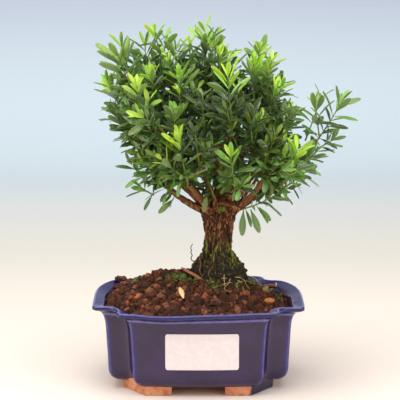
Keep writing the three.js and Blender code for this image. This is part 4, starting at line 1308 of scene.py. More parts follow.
@dataclass
class Trunk:
    """The trunk with its limbs, grown as one and roughened by its bark."""

    place: Place
    x: float = 14
    y: float = 2
    foot_radius: float = 19
    profile: list[tuple[float, float, float, float]] = field(default_factory=lambda: [
        (40, 17.5, 17.5, 0), (43, 19, 19, 0), (74, 19, 19, 0), (77, 19, 18.6, 0.03), (80, 18.6, 17, 0.06),
        (82.5, 16.6, 14.6, 0.09), (85, 13.8, 12.6, 0.11), (88, 12.2, 11, 0.13), (93, 10.2, 8.4, 0.14),
        (98, 9.5, 8.5, 0.14), (104, 9.3, 8.9, 0.12), (109, 9.7, 9.8, 0.12), (114, 10.8, 11.2, 0.13),
        (118, 10.8, 10.8, 0.13), (124, 9.5, 9.5, 0.1), (129, 5, 5, 0),
    ])
    limbs: list[tuple[list[Triple], float]] = field(default_factory=lambda: [
        ([(9, -4, 117), (-9, -10, 126), (-26, -14, 135), (-37, -17, 166)], 3),
        ([(7, 0, 115), (-4, 4, 134), (-28, 10, 150), (-38, 8, 202)], 2.7),
        ([(11, -4, 118), (6, -8, 146), (-6, -16, 172), (-14, -14, 208)], 2.5),
        ([(14, 1, 120), (16, 2, 150), (8, 2, 180), (8, 2, 216)], 2.8),
        ([(18, -6, 116), (27, -14, 134), (20, -28, 150), (21, -40, 180)], 2.6),
        ([(19, 3, 117), (34, 8, 140), (44, 6, 165), (44, -2, 206)], 2.7),
        ([(19, -2, 114), (36, -6, 130), (60, -8, 140), (76, -8, 160)], 2.7),
        ([(13, -4, 122), (14, -14, 131), (22, -19, 124), (29, -20.5, 123.5)], 1.9),
        ([(10, -6, 116), (0, -24, 134), (-14, -36, 148), (-22, -40, 176)], 2.3),
        ([(18, -7, 115), (34, -24, 130), (46, -34, 142), (52, -36, 172)], 2.3),
        ([(10, 7, 115), (-4, 24, 134), (-26, 34, 150), (-38, 34, 186)], 2.5),
        ([(14, 8, 116), (14, 26, 140), (8, 40, 160), (4, 44, 196)], 2.5),
        ([(18, 7, 115), (34, 22, 134), (50, 32, 150), (58, 34, 184)], 2.5),
        ([(10, -8, 118), (10, -11, 121), (10.5, -12.5, 124), (11, -14, 127)], 1.6),
    ])
    twigs: list[tuple[Triple, ...]] = field(default_factory=lambda: [
        ((10, -4, 117), (4, -12, 134), (-4, -18, 146), (-7, -22, 164)),
        ((13, -6, 118), (9, -14, 136), (4, -20, 148), (6, -26, 168)),
        ((17, -6, 118), (20, -12, 136), (16, -18, 152), (18, -24, 172)),
        ((20, -5, 117), (28, -12, 132), (30, -20, 146), (26, -26, 168)),
        ((22, -4, 117), (34, -8, 134), (40, -16, 146), (42, -22, 166)),
        ((8, -3, 117), (-6, -6, 132), (-16, -12, 142), (-20, -20, 160)),
        ((16, 2, 120), (20, 6, 140), (30, 4, 152), (32, 2, 172)),
        ((12, 2, 120), (6, 6, 140), (0, 4, 152), (-4, 2, 172)),
    ])
    limb_tip: float = 1.3
    sides: int = 72
    voxel: float = 0.6
    twig_radii: tuple[float, float] = (1.7, 0.8)
    scar: Vector = field(default_factory=lambda: Vector((16.2, -8.6, 121.5)))

    def limb_at(self, limb: int, share: float) -> Vector:
        """The point a share of the way along a limb."""
        a, b, c, d = (Vector(point) for point in self.limbs[limb][0])
        left = 1 - share
        return a * left ** 3 + b * 3 * left * left * share + c * 3 * left * share * share + d * share ** 3

    def limb_way(self, limb: int, share: float) -> Vector:
        """The direction of a limb at a share of its length."""
        return (self.limb_at(limb, share + 0.01) - self.limb_at(limb, share - 0.01)).normalized()

    def level(self, z: float) -> list[float]:
        """The profile's left radius, right radius and fluting at a height."""
        for low, high in zip(self.profile, self.profile[1:]):
            if z <= high[0]:
                share = max(z - low[0], 0.0) / (high[0] - low[0])
                return [mix(a, b, share) for a, b in zip(low[1:], high[1:])]
        return list(self.profile[-1][1:])

    def skin_at(self, turn: float, z: float, lift: float = 0.0) -> Vector:
        """A point of the smooth trunk, at a turn round its axis and a height."""
        left, right, flute = self.level(z)
        ripple = math.cos(5 * turn + 0.02 * z) + 0.6 * math.cos(8 * turn + 1)
        round_off = mix(left, right, 0.5 + 0.5 * math.cos(turn))
        reach = min(round_off * (1 + flute * ripple), self.foot_radius) + lift
        return Vector((self.x + reach * math.cos(turn), self.y + reach * math.sin(turn), z))

    def off_axis(self, point: Vector) -> float:
        """How far a point lies from the trunk's axis."""
        return math.hypot(point.x - self.x, point.y - self.y)

    def holds(self, point: Vector, lift: float) -> bool:
        """Whether a point lies inside the smooth trunk, or within so much of it."""
        turn = math.atan2(point.y - self.y, point.x - self.x)
        return self.off_axis(point) < self.off_axis(self.skin_at(turn, point.z, lift))

    def core(self, draft: Draft) -> None:
        """Adds the fluted trunk itself to a draft.

        Args:
            draft: The draft that it goes into.
        """
        turns = [math.tau * i / self.sides for i in range(self.sides)]
        heights = [z for z in range(round(self.profile[0][0]), 71, 5)]
        heights += [70.5 + 1.5 * step for step in range(40)]
        top = self.profile[-1][0]
        rings = [draft.add(self.skin_at(turn, z) for turn in turns) for z in heights if z < top]
        draft.skin(rings)
        draft.close(rings)

    def relief(self, point: Vector) -> tuple[float, float]:
        """The bark at a point.

        Args:
            point: A point of the smooth wood.

        Returns:
            How far the bark moves it outward and how deep in a fissure it lies, from 0 to 1, which also sets
            the fissure's painted shade.
        """
        stem = (1 - eased(14, 22, self.off_axis(point))) * (1 - eased(122, 132, point.z))
        bend = noise.noise(point / 7) * 0.9
        twist = Vector((point.x / 2.3 + bend, point.y / 2.3, point.z / 12))
        ridge = 1 - abs(noise.noise(twist)) * 2.6
        split = 1 - abs(noise.noise(Vector((point.x / 1.3, point.y / 1.3, point.z / 6 + 9)))) * 3
        fine = noise.noise(Vector((point.x / 1.2, point.y / 1.2, point.z / 5)))
        crack = max(eased(0.45, 0.95, ridge), 0.6 * eased(0.5, 1.0, split)) * stem
        foot = 1 - eased(80, 90, point.z)
        lumps = (2.6 * noise.noise(point / 4.5) + 1.3 * noise.noise(point / 1.9 + self.scar)) * foot
        scar = (point - self.scar).length
        crack *= eased(1.6, 2.6, scar)
        knots = 0.35 * noise.noise(point / 3.0) * (1 - stem)
        return -1.5 * crack + 0.3 * fine * (0.3 + stem) + lumps + knots, crack

    def make(self) -> None:
        """Grows the trunk and limbs into one skin, roughens it and settles it."""
        draft = Draft()
        self.core(draft)
        for number, (_, radius) in enumerate(self.limbs):
            shares = [step / 14 for step in range(15)]
            draft.rod([Station(self.limb_at(number, s), mix(radius, self.limb_tip, s)) for s in shares], 10)
        for points in self.twigs:
            row = interpolated([Vector(point) for point in points], 5)
            last = len(row) - 1
            draft.rod([Station(point, mix(*self.twig_radii, i / last)) for i, point in enumerate(row)], 8)
        wood = draft.build("trunk_and_limbs", self.place)
        remesh = wood.modifiers.new("grown_together", "REMESH")
        remesh.mode = "VOXEL"
        remesh.voxel_size = self.voxel * MM
        soften = wood.modifiers.new("soften", "SMOOTH")
        soften.iterations = 3
        baked(wood)
        mesh = wood.data
        crack_and_shade_values, greens, moved = [], [], []
        for vertex in mesh.vertices:
            spot = self.place.back(vertex.co)
            lift, crack = self.relief(spot)
            moved.extend(vertex.co + vertex.normal * lift * MM)
            crack_and_shade_values.append(crack)
            greens.append(0.9 * (1 - eased(1.7, 2.5, (spot - self.scar).length)))
        mesh.vertices.foreach_set("co", moved)
        for name, values in (("crack", crack_and_shade_values), ("green", greens)):
            mesh.attributes.new(name, "FLOAT", "POINT").data.foreach_set("value", values)
        mesh.shade_smooth()
        mesh.materials.append(Bark().material())
        settle(wood, "bark", ["trunk"])


@dataclass(frozen=True)
class Stone:
    """A single piece that lies on the soil: its middle, its size, its shape and its finish."""

    middle: Triple
    size: Triple
    turn: float
    kind: int
    finish: Trim


@dataclass(frozen=True)
class Thread:
    """A rootlet or strand: its points, its radius at both ends and its finish."""

    points: tuple[Triple, ...]
    radii: tuple[float, float]
    finish: Trim


@dataclass
class Litter:
    """What lies on the soil and round the trunk's foot: moss, rootlets, odd stones, a chip and a husk."""

    place: Place
    soil: Soil
    seed: int = 23
    moss_spots: tuple[tuple[float, float, float, float], ...] = (
        (-0.9, -13.7, 3.2, 1.0), (6.9, -19.1, 3.6, 1.0), (37, -1, 4.2, 1.0), (55.8, 1.4, 2.4, 1.0),
        (-14, -10, 8, 0.8), (-6, -15, 6, 0.7), (10, -21, 6, 0.6), (-42, 8, 4, 0.8), (25.5, -14, 3.4, 0.9),
        (45.6, 4.7, 4, 0.7), (31, 2, 5, 0.8), (-32.9, -17, 3, 0.4), (-54.9, 12.5, 3, 0.5),
        (14, -27, 3, 0.35), (-24, -24, 3, 0.3),
    )
    stones: tuple[Stone, ...] = field(default_factory=lambda: (
        Stone((48.5, -14.7, 58.6), (7.2, 6, 5), 20, 2, Trim.RUST_STONE),
        Stone((45.6, 3.5, 62.4), (8, 6.5, 6), 70, 4, Trim.TAN_STONE),
        Stone((-55.5, 40, 61.6), (8.5, 6.4, 5), 10, 3, Trim.DULL_STONE),
        Stone((-49, 36.5, 60.4), (8, 7, 6), 50, 10, Trim.DULL_STONE),
        Stone((-53, 33, 59), (7, 6.4, 6), 120, 11, Trim.RED_STONE),
        Stone((-43, 37.5, 61.4), (7.5, 6, 5.6), 80, 12, Trim.RED_STONE),
        Stone((-47, 29, 60), (6.4, 6, 5.4), 20, 13, Trim.DULL_STONE),
        Stone((-37.5, 34, 63), (6.6, 5.6, 5), 64, 14, Trim.RED_STONE),
        Stone((-57.5, 29, 58.4), (6.4, 5.6, 5), 5, 15, Trim.DULL_STONE),
        # Three small pale pieces on the soil at the back right, under the lip.
        Stone((41.5, 50.5, 57.9), (2.4, 2, 1.6), 30, 1, Trim.CRUMB),
        Stone((45.8, 44.5, 57.7), (2, 1.6, 1.4), 80, 5, Trim.CRUMB),
        Stone((55.4, 33.2, 58.3), (1.1, 1.1, 4.2), 0, 6, Trim.CRUMB),
        Stone((51.4, 35, 58), (10.8, 3, 2.4), -24, 7, Trim.CHIP),
        Stone((-40, -22, 63.4), (6.2, 5, 4.4), 40, 8, Trim.RUST_STONE),
        Stone((12, -37, 63.2), (7, 6, 5), 15, 9, Trim.DULL_STONE),
    ))
    threads: tuple[Thread, ...] = field(default_factory=lambda: (
        Thread(((17.5, -18.6, 78), (17.4, -19.4, 74.9), (17.8, -21, 71.8), (17.6, -24, 69.4)),
               (0.24, 0.14), Trim.ROOTLET),
        Thread(((15.6, -19.6, 75.4), (17.4, -20, 75.9), (19.2, -19.6, 75.6)), (0.18, 0.14), Trim.ROOTLET),
        Thread(((21.6, -18.8, 75.4), (20.6, -20.3, 72.5), (18.9, -22, 71.2), (17.4, -24.6, 69.6),
                (19.4, -26.5, 68.4), (22.4, -27, 68)), (0.22, 0.12), Trim.ROOTLET),
        Thread(((16.2, -21.5, 71.6), (19.4, -21.2, 72.6), (23.6, -20.2, 72.4), (26.4, -21, 69.8),
                (27.2, -23.5, 67.8)), (0.2, 0.12), Trim.ROOTLET),
        Thread(((25, -17.6, 76), (28.6, -17.4, 75.4), (31.6, -16.4, 73.2), (32.8, -17, 70.4),
                (34.9, -17.8, 67.6)), (0.26, 0.14), Trim.ROOTLET),
        Thread(((26.5, -18.5, 73.8), (28.6, -20.4, 73.4), (30.8, -21.4, 71.2), (30.2, -22.6, 69.2),
                (31.8, -24.2, 66.6)), (0.24, 0.12), Trim.ROOTLET),
        Thread(((24.4, -20.2, 71), (27.8, -19.4, 72.8), (33, -15.6, 72.6), (38.6, -11.6, 69.4)),
               (0.2, 0.12), Trim.ROOTLET),
        Thread(((33.4, 2, 73), (36.6, 1, 72.2), (39.8, 0, 70.6), (43.6, -3, 66.6)),
               (0.22, 0.14), Trim.ROOTLET),
        Thread(((4.6, -18, 78.9), (2.2, -19.6, 76), (3.4, -21.6, 73.5), (1.6, -24.4, 71)),
               (0.4, 0.24), Trim.BARK_ROOT),
        Thread(((8.4, -18.4, 82), (6.8, -19.6, 78.4), (8.2, -20.8, 75.2), (7, -22.8, 72.2)),
               (0.5, 0.3), Trim.BARK_ROOT),
        Thread(((0.8, -12.4, 87.9), (1.6, -14.6, 84.3), (0.9, -16.4, 80.3), (2.6, -17.8, 76.6)),
               (0.6, 0.4), Trim.BARK_ROOT),
        Thread(((2.6, 1, 86.8), (-0.8, 0.6, 83.5), (-4.1, 1.4, 83.3), (-5.1, 2.6, 85.1),
                (-4.3, 3, 86.7), (-5.3, 3.6, 88.9), (-4.7, 4, 90), (-5.3, 4.4, 91.9),
                (-3.9, 5, 94.5)), (0.4, 0.28), Trim.STRAND),
    ))

    def tuft(self, name: str, kind: int) -> bpy.types.Object:
        """A tuft of moss of unit size: seven small spikes that spread from one spot.

        Args:
            name: The name of its object.
            kind: Which of the tufts it is.

        Returns:
            The tuft, in no collection.
        """
        draft = Draft()
        for spike in range(7):
            turn = math.tau * (spike / 6 + 0.13 * chance(kind + spike))
            lean = 0.0 if spike == 6 else mix(0.35, 0.95, chance(3.3 * kind + spike))
            way = Vector((math.cos(turn) * math.sin(lean), math.sin(turn) * math.sin(lean), math.cos(lean)))
            side = way.orthogonal().normalized() * 0.13
            reach = mix(0.4, 0.62, chance(kind * 5 + spike))
            base = [way * 0.08 + side * math.cos(a) + way.cross(side) * math.sin(a) for a in (0, 2.1, 4.2)]
            a, b, c, tip = draft.add(point / MM for point in (*base, way * reach))
            draft.faces += [(a, b, tip), (b, c, tip), (c, a, tip), (c, b, a)]
        piece = draft.build(name, Place(Vector()))
        bpy.context.scene.collection.objects.unlink(piece)
        return piece

    def moss_cover(self, x: float, y: float) -> float:
        """How thickly moss grows at a spot of the mound, from 0 to 1."""
        return max(
            amount * (1 - eased(0.6 * radius, 1.15 * radius, math.hypot(x - u, y - v)))
            for u, v, radius, amount in self.moss_spots
        )

    def seated(self, trunk: Trunk, point: Vector) -> Vector:
        """A point moved back, and one part in five down, until the soil or the trunk's foot carries it.

        Args:
            trunk: The trunk that may carry it.
            point: The point before it is moved.

        Returns:
            The point where it is carried.
        """
        lift = 1.3
        step = Vector((0, 0.25, -0.05))
        while point.z > self.soil.top(point.x, point.y) + lift and point.y < trunk.y:
            if trunk.holds(point, lift):
                break
            point = point + step
        return point

    def apron(self, name: str, trunk: Trunk) -> bpy.types.Object:
        """An open surface round the trunk's foot, marked where moss and granules cling to it.

        Args:
            name: The name of its object.
            trunk: The trunk whose foot it lies round.

        Returns:
            The surface, a little inside the bark.
        """
        draft = Draft()
        rings = []
        for z in range(68, 87, 2):
            ring = []
            for step in range(48):
                turn = math.tau * step / 48
                point = trunk.skin_at(turn, z, -0.6)
                front = eased(0.2, 1.0, -math.sin(turn + 0.5))
                low = 1 - eased(74 + 5 * front, 82 + 6 * front, z + 5 * math.cos(turn))
                patch = eased(-0.25, 0.2, noise.noise(point / 5))
                ring += draft.add([point], cover=low * patch, coarse=1.0, mossy=0.9 - 0.7 * front)
            rings.append(ring)
        draft.skin(rings)
        return draft.build(name, self.place)

    def clothe(self, trunk: Trunk, scatter: Recipe) -> None:
        """Grows moss on the soil and up the trunk's foot, and lays granules against the foot.

        Args:
            trunk: The trunk whose foot they cling to.
            scatter: The recipe that strews grains.
        """
        tufts = gathered("tufts", [self.tuft(f"tuft_{kind}", kind) for kind in range(3)])
        grains = gathered("foot_grains", [lump(f"foot_grain_{kind}", kind, 2) for kind in range(5)])
        moss = {"Grains": tufts, "Kinds": 3, "Tilt": 0.4, "Finish": Trim.MOSS.material()}
        clay = {"Grains": grains, "Kinds": 5, "Tilt": math.pi, "Finish": Grains().material()}
        bed = self.soil.surface("moss_on_soil", -0.7, cover=self.moss_cover, coarse=lambda x, y: 1.0)
        strewn = (
            (bed, "leaf", moss, 0.95, 2.0, 3.4),
            (self.apron("moss_on_trunk", trunk), "leaf", moss, 1.3, 1.4, 2.4),
            (self.apron("granules_on_trunk", trunk), "soil", clay, 2.3, 1.2, 3.4),
        )
        for number, (piece, slot, kit, *sizes) in enumerate(strewn):
            spacing, smallest, largest = (size * MM for size in sizes)
            scatter.cook(
                piece, Spacing=spacing, Smallest=smallest, Largest=largest, Seed=self.seed + number, **kit
            )
            settle(piece, slot)
        discarded(tufts)
        discarded(grains)

    def thread(self, name: str, thread: Thread, trunk: Trunk, rods: Recipe) -> bpy.types.Object:
        """One rootlet, or the strand, which is the only one that may stand free.

        Args:
            name: The name of its object.
            thread: Its row of points, radii and finish.
            trunk: The trunk that may carry it.
            rods: The recipe that makes rods of chains.

        Returns:
            The finished thread.
        """
        knots = [Vector(point) for point in thread.points]
        if thread.finish is not Trim.STRAND:
            knots = [self.seated(trunk, knot) for knot in knots]
        points = interpolated(knots, 5)
        shares = [i / (len(points) - 1) for i in range(len(points))]
        draft = Draft()
        draft.chain(points, {"radius": [mix(*thread.radii, share) * MM for share in shares]})
        return rods_of(draft, name, self.place, rods, 7, thread.finish.material())

    def make(self, trunk: Trunk, scatter: Recipe, rods: Recipe) -> None:
        """Lays everything down and settles it.

        Args:
            trunk: The trunk that some of them lean on.
            scatter: The recipe that strews grains.
            rods: The recipe that makes rods of chains.
        """
        self.clothe(trunk, scatter)
        for number, stone in enumerate(self.stones):
            settle(self.stone(f"stone_{number}", stone), "soil")
        for number, thread in enumerate(self.threads):
            settle(self.thread(f"rootlet_{number}", thread, trunk, rods), "bark")
        settle(self.chip(), "chip_wood", ["wood_chip"])
        settle(self.husk(), "husk", ["seed_husk"])

    def stone(self, name: str, stone: Stone) -> bpy.types.Object:
        """One stone at its place and size.

        Args:
            name: The name of its object.
            stone: Its middle, size, turn, kind and finish.

        Returns:
            The finished stone.
        """
        piece = lump(name, stone.kind, 2, 1.0)
        turn = Matrix.Rotation(math.radians(stone.turn), 3, "Z")
        for vertex in piece.data.vertices:
            sized = Vector(a * b for a, b in zip(vertex.co, stone.size))
            vertex.co = self.place.at(Vector(stone.middle) + turn @ sized)
        piece.data.materials.append(stone.finish.material())
        bpy.context.scene.collection.objects.link(piece)
        return piece

    def sliver(self, name: str, ends: Sequence[Vector], sections: Sequence[tuple[float, float, float, float]],
               finish: Trim) -> bpy.types.Object:
        """A thin piece between two ends.

        Args:
            name: The object's name.
            ends: Its first and its last point.
            sections: Rows of share along, half width, half thickness and how far it is bent up there.
            finish: Its finish.

        Returns:
            The closed piece.
        """
        draft = Draft()
        along = (ends[1] - ends[0]).normalized()
        across = Vector((0, 0, 1)).cross(along).normalized()
        upward = along.cross(across)
        rings = []
        for number, (share, half, thick, rise) in enumerate(sections):
            middle = ends[0].lerp(ends[1], share) + upward * rise
            ring = []
            for k in range(10):
                turn = math.tau * k / 10
                ragged = 1 + 0.3 * (chance(7 * number + k) - 0.5)
                sideways = across * half * ragged * math.cos(turn)
                ring.append(middle + sideways + upward * thick * math.sin(turn))
            rings.append(draft.add(ring))
        draft.skin(rings)
        draft.close(rings)
        piece = draft.build(name, self.place, finish)
        piece.data.set_sharp_from_angle(angle=math.radians(50))
        return piece

    def chip(self) -> bpy.types.Object:
        """The chip of bark that leans up against the mound, jagged at its raised end."""
        sections = [
            (0.0, 0.6, 0.25, 0.5), (0.04, 1.5, 0.5, 0.1), (0.1, 1.2, 0.65, 0.35), (0.25, 1.7, 0.75, 0.2),
            (0.45, 1.75, 0.75, 0.3), (0.65, 1.5, 0.7, 0.25), (0.85, 1.2, 0.6, 0.1), (1.0, 0.4, 0.25, 0.0),
        ]
        ends = [Vector((-11.6, -6.5, 79.9)), Vector((2.8, -17.6, 74.2))]
        return self.sliver("bark_chip", ends, sections, Trim.CHIP)

    def husk(self) -> bpy.types.Object:
        """The pale seed husk, keeled and pointed at both ends."""
        sections = [
            (0.0, 0.35, 0.25, 0.0), (0.12, 1.2, 0.5, 0.15), (0.35, 1.85, 0.75, 0.3), (0.6, 1.7, 0.75, 0.3),
            (0.85, 1.05, 0.5, 0.15), (1.0, 0.3, 0.25, 0.0),
        ]
        ends = [Vector((-12.6, -24.9, 70.6)), Vector((-9.9, -34.3, 65.2))]
        return self.sliver("pale_husk", ends, sections, Trim.HUSK)


@dataclass
class Shoot:
    """A leafy stem: its two ends, its longest leaf, how many pairs it bears and how young it is."""

    foot: Vector
    tip: Vector
    leaf: float
    pairs: int = 8
    youth: float = 0.3
    sag: float = 0.1

    def at(self, share: float) -> Vector:
        """The point a share of the way up the stem, which leaves its foot low and curves up."""
        reach = self.tip - self.foot
        bend = self.foot + reach * 0.5 - Vector((0, 0, self.sag * math.hypot(reach.x, reach.y)))
        left = 1 - share
        return self.foot * left * left + bend * 2 * left * share + self.tip * share * share


@dataclass
class Crown:
    """The leafy shoots: those of the model with more pairs of leaves, and smaller ones between them."""

    place: Place
    trunk: Trunk
    heart: Vector = field(default_factory=lambda: Vector((14, 0, 130)))
    stem_radius: float = 0.62
    twig_radius: float = 0.95
    lean_at_foot: float = 82
    lean_at_tip: float = 22
    first_pair: float = 0.08
    side_shoots: int = 265
    side_spacing: float = 6.2
    side_stem: tuple[float, float] = (14, 22)
    side_leaf: tuple[float, float] = (12.5, 17.5)
    lowest_side_shoot: float = 132
    tries_for_each: int = 60
    tuft_stem: float = 11
    tuft_youth: float = 1.3
    strays: dict[str, float] = field(default_factory=lambda: {
        "TurnStray": math.radians(14), "LeanStray": math.radians(13), "RollStray": math.radians(42),
        "LengthStray": 0.22,
    })
    seed: int = 5
    blade_bends: tuple[Triple, ...] = (
        (0.05, 0.035, 0.02), (0.09, 0.03, -0.03), (0.2, 0.015, 0.04), (0.28, -0.02, -0.02),
        (0.36, -0.025, 0.02),
    )
    front: list[tuple[float, ...]] = field(default_factory=lambda: [
        (-44, -17, 200, -52, -18, 224, 24, 0.45), (-49, -8, 184, -60, -8, 206, 17, 0.8),
        (-47, -16, 170, -56, -14, 189, 15, 0.3), (-37, -34, 186, -40, -38, 208, 14, 1.0),
        (-29, -24, 190, -31, -26, 213, 15, 1.0), (-33, 0, 206, -36, 0, 230, 21, 0.55),
        (-15, -9, 204, -15, -10, 228, 19, 0.5), (7, -2, 210, 4, -5, 233, 21, 0.5),
        (17, 10, 198, 17, 10, 224, 16, 0.9), (22, -43, 180, 19, -48, 214, 21, 0.9),
        (-9, -28, 188, -12, -32, 213, 17, 0.7), (-17, -42, 166, -15, -47, 190, 17, 0.5),
        (-7, -46, 146, -13, -53, 173, 19, 0.9), (-38, -1, 158, -50, -3, 178, 16, 0.2),
        (-29, -22, 147, -38, -27, 164, 15, 0.4), (-22, -6, 144, -36, -7, 154, 15, 0.1),
        (44, 3, 202, 42, 5, 225, 19, 0.6), (37, -20, 194, 37, -23, 219, 15, 1.0),
        (46, -12, 190, 46, -15, 215, 15, 1.0), (45, -27, 182, 51, -31, 205, 15, 1.0),
        (54, -5, 163, 63, -5, 186, 15, 0.5), (80, -8, 168, 96, -8, 194, 19, 0.3),
        (56, -38, 144, 64, -47, 166, 19, 1.0), (42, -38, 150, 49, -42, 174, 18, 0.4),
        (24, -44, 142, 21, -54, 163, 16, 0.7), (60, -14, 147, 77, -17, 159, 17, 0.1),
        (57, -27, 139, 71, -27, 150, 16, 0.0), (29.5, -21, 123.5, 52, -24, 134, 17, 0.0),
        (11, -15, 130, 6, -25, 145, 18, 0.1), (-14, -19, 133, -26, -24, 141, 15, 0.0),
        (5, -36, 174, 2, -42, 200, 17, 0.3), (35, -38, 168, 36, -43, 192, 17, 0.2),
        (1, -44, 154, -2, -52, 178, 17, 0.2),
    ])
    tiers: list[tuple[float, ...]] = field(default_factory=lambda: [
        (152, 18, 58, 50, 5, 24), (186, 3, 60, 54, 7, 27), (218, -2, 44, 34, 5, 26),
    ])
    tufts: list[tuple[float, ...]] = field(default_factory=lambda: [
        (-28.7, -12, 240, 14), (-31, -30, 212.9, 13), (-6.2, -15, 232.8, 12), (9.1, -12, 231.9, 11),
        (14.3, -18, 227.1, 11), (41, -12, 230, 11), (36.7, -22, 222.1, 11), (48.9, -15, 222.9, 12),
        (54.6, -22, 205.6, 14), (-52.1, -15, 214.3, 11), (-39.7, -26, 207.3, 12), (-11.9, -34, 213.9, 12),
        (-12.6, -38, 203.9, 11), (-13.8, -42, 191.2, 12), (-13.8, -46, 174.8, 12), (20.6, -44, 165.3, 11),
        (44.2, -40, 169.4, 12), (57.4, -38, 171.1, 12), (-20, -22, 224, 11), (26, -34, 206, 11),
        (-34, -32, 190, 11), (4, -40, 182, 11), (-26, 20, 226, 12), (20, 24, 222, 12), (40, 24, 204, 11),
        (-44, 20, 196, 11), (0, 42, 196, 12), (30, 40, 184, 12), (60, 20, 176, 11), (-30, 40, 180, 11),
    ])
    sprays: list[tuple[float, ...]] = field(default_factory=lambda: [
        (72, -8, 168, 82, -8, 196, 19, 4, 0.5), (60, -12, 146, 84, -14, 166, 15, 5, 0.2),
        (-40, -14, 196, -50, -18, 230, 22, 5, 0.45), (-24, -10, 206, -22, -12, 236, 19, 5, 0.5),
        (10, -8, 206, 12, -8, 236, 19, 5, 0.6), (4, -8, 216, 4.5, -8, 240, 23, 4, 0.6),
        (-34, -12, 140, -44, -16, 152, 16, 5, 0.1), (-30, -14, 132, -38, -20, 138, 15, 4, 0.0),
    ])
    lone: list[tuple[float, ...]] = field(default_factory=lambda: [
        (30.5, -14, 121.9, 29.2, -14, 104.1, 0, 0.35), (35.2, -14, 122.3, 41.7, -14, 106.2, 0, 0.3),
        (41, -12, 123.4, 49.2, -12, 114.4, 0, 0.2), (5.1, -24, 134.9, 4.4, -24, 122.1, 0.15, 0.3),
        (-16.4, -14, 129.5, -26.6, -14, 119.6, 0, 0.2), (-41.1, -24, 202.5, -46.3, -24, 214.4, 1, 0.3),
    ])

    def main_shoots(self) -> list[Shoot]:
        """The shoots of the model, front and back, in its own order.

        Returns:
            The front shoots first, then tier by tier those that go round the back.
        """
        shoots = [Shoot(Vector(row[:3]), Vector(row[3:6]), row[6], 8, row[7]) for row in self.front]
        for tier, (height, middle_x, reach_x, reach_y, count, stem) in enumerate(self.tiers):
            for i in range(count):
                seed = tier * 9 + i
                turn = math.pi * (i + 0.5 + 0.25 * (tier % 2)) / count
                lift = 10 * (chance(seed) - 0.5)
                tip = Vector((middle_x + reach_x * math.cos(turn), reach_y * math.sin(turn), height + lift))
                foot = tip - (tip - self.heart).normalized() * stem
                shoots.append(Shoot(foot, tip, 16 + 2 * chance(seed + 0.5), 8, 0.9 * chance(seed + 0.7)))
        return shoots

    def origin(self, shoot: Shoot) -> tuple[Vector, Vector]:
        """Where a shoot's twig leaves the limbs, and the limb's direction there.

        Args:
            shoot: The shoot that the twig carries.

        Returns:
            A point on a limb, and the direction in which the limb grows there.
        """
        best = (math.inf, Vector(), Vector())
        for limb in range(len(self.trunk.limbs)):
            for step in range(3, 11):
                share = step / 10
                point, way = self.trunk.limb_at(limb, share), self.trunk.limb_way(limb, share)
                gap = shoot.foot - point
                cost = gap.length * (1 + 1.2 * (1 - gap.normalized().dot(way)))
                if cost < best[0]:
                    best = (cost, point, way)
        return best[1], best[2]

    def twig(self, shoot: Shoot) -> list[Vector]:
        """The points of the twig that carries a shoot, from its limb to its foot."""
        start, way = self.origin(shoot)
        arrival = (shoot.at(0.02) - shoot.foot).normalized()
        handle = 0.35 * (shoot.foot - start).length
        knots = (start, start + way * handle, shoot.foot - arrival * handle, shoot.foot)
        return interpolate_bezier(*knots, 8)

    def small_shoots(self, grown: list[Shoot], twigs: list[list[Vector]]) -> list[Shoot]:
        """Smaller shoots that fill the crown, off the twigs and the upper limbs.

        Args:
            grown: The main shoots.
            twigs: The points of their twigs.

        Returns:
            The smaller shoots, inside the surface that the main shoots reach.
        """
        draw = random.Random(self.seed)
        roots = [point for twig in twigs for point in twig[1:-1]]
        roots += [shoot.at(share) for shoot in grown for share in (0.1, 0.3)]
        for limb in range(len(self.trunk.limbs)):
            roots += [self.trunk.limb_at(limb, step / 12) for step in range(5, 13)]
        reach = [((shoot.tip - self.heart).normalized(), (shoot.tip - self.heart).length) for shoot in grown]
        kept = list(grown)
        small = []
        for _ in range(self.tries_for_each * self.side_shoots):
            if len(small) == self.side_shoots:
                break
            foot = draw.choice(roots)
            if foot.z < self.lowest_side_shoot:
                continue
            outward = (foot - self.heart).normalized()
            stray = Vector((draw.uniform(-1, 1), draw.uniform(-1, 1), draw.uniform(-0.4, 1)))
            way = (outward * 0.7 + stray * 0.75 + Vector((0, 0, 0.25))).normalized()
            tip = foot + way * draw.uniform(*self.side_stem)
            from_heart = tip - self.heart
            nearest = max(reach, key=lambda pair: pair[0].dot(from_heart.normalized()))
            if from_heart.length > nearest[1] - mix(4, 13, eased(185, 215, tip.z)):
                continue
            if draw.random() < self.hollow(tip):
                continue
            middle = (foot + tip) / 2
            if any((shoot.at(0.6) - middle).length < self.side_spacing for shoot in kept):
                continue
            depth = eased(0.6, 1.0, from_heart.length / nearest[1])
            leaf = draw.uniform(*self.side_leaf)
            shoot = Shoot(foot, tip, leaf, 5, draw.uniform(0, 1) ** 1.5 * depth)
            small.append(shoot)
            kept.append(shoot)
        return small

    def hollow(self, spot: Vector) -> float:
        """How bare the crown is at a spot, from 0 to 1: open at its heart, thin low down and far out.

        Args:
            spot: A point of the crown, in millimetres.

        Returns:
            The share of small shoots left out there.
        """
        if -10 < spot.x < 46 and spot.y < 24 and spot.z < 164:
            return 0.9
        if -8 < spot.x < 34 and spot.y < -8 and spot.z < 192:
            return 0.6
        if spot.z < 154 or spot.x > 64:
            return 0.92
        return 0.55 if spot.x < -46 else 0.0

    def age(self, spot: Vector) -> float:
        """How much painted shade darkens the leaves at a spot, from 0 to 1: most half-way up, in the middle,
        where the crown's hollow lies in shade.
        """
        half_way_up = mix(0.15, 1, eased(148, 170, spot.z)) * (1 - eased(194, 218, spot.z))
        return half_way_up * (1 - 0.75 * eased(24, 60, abs(spot.x - 14)))

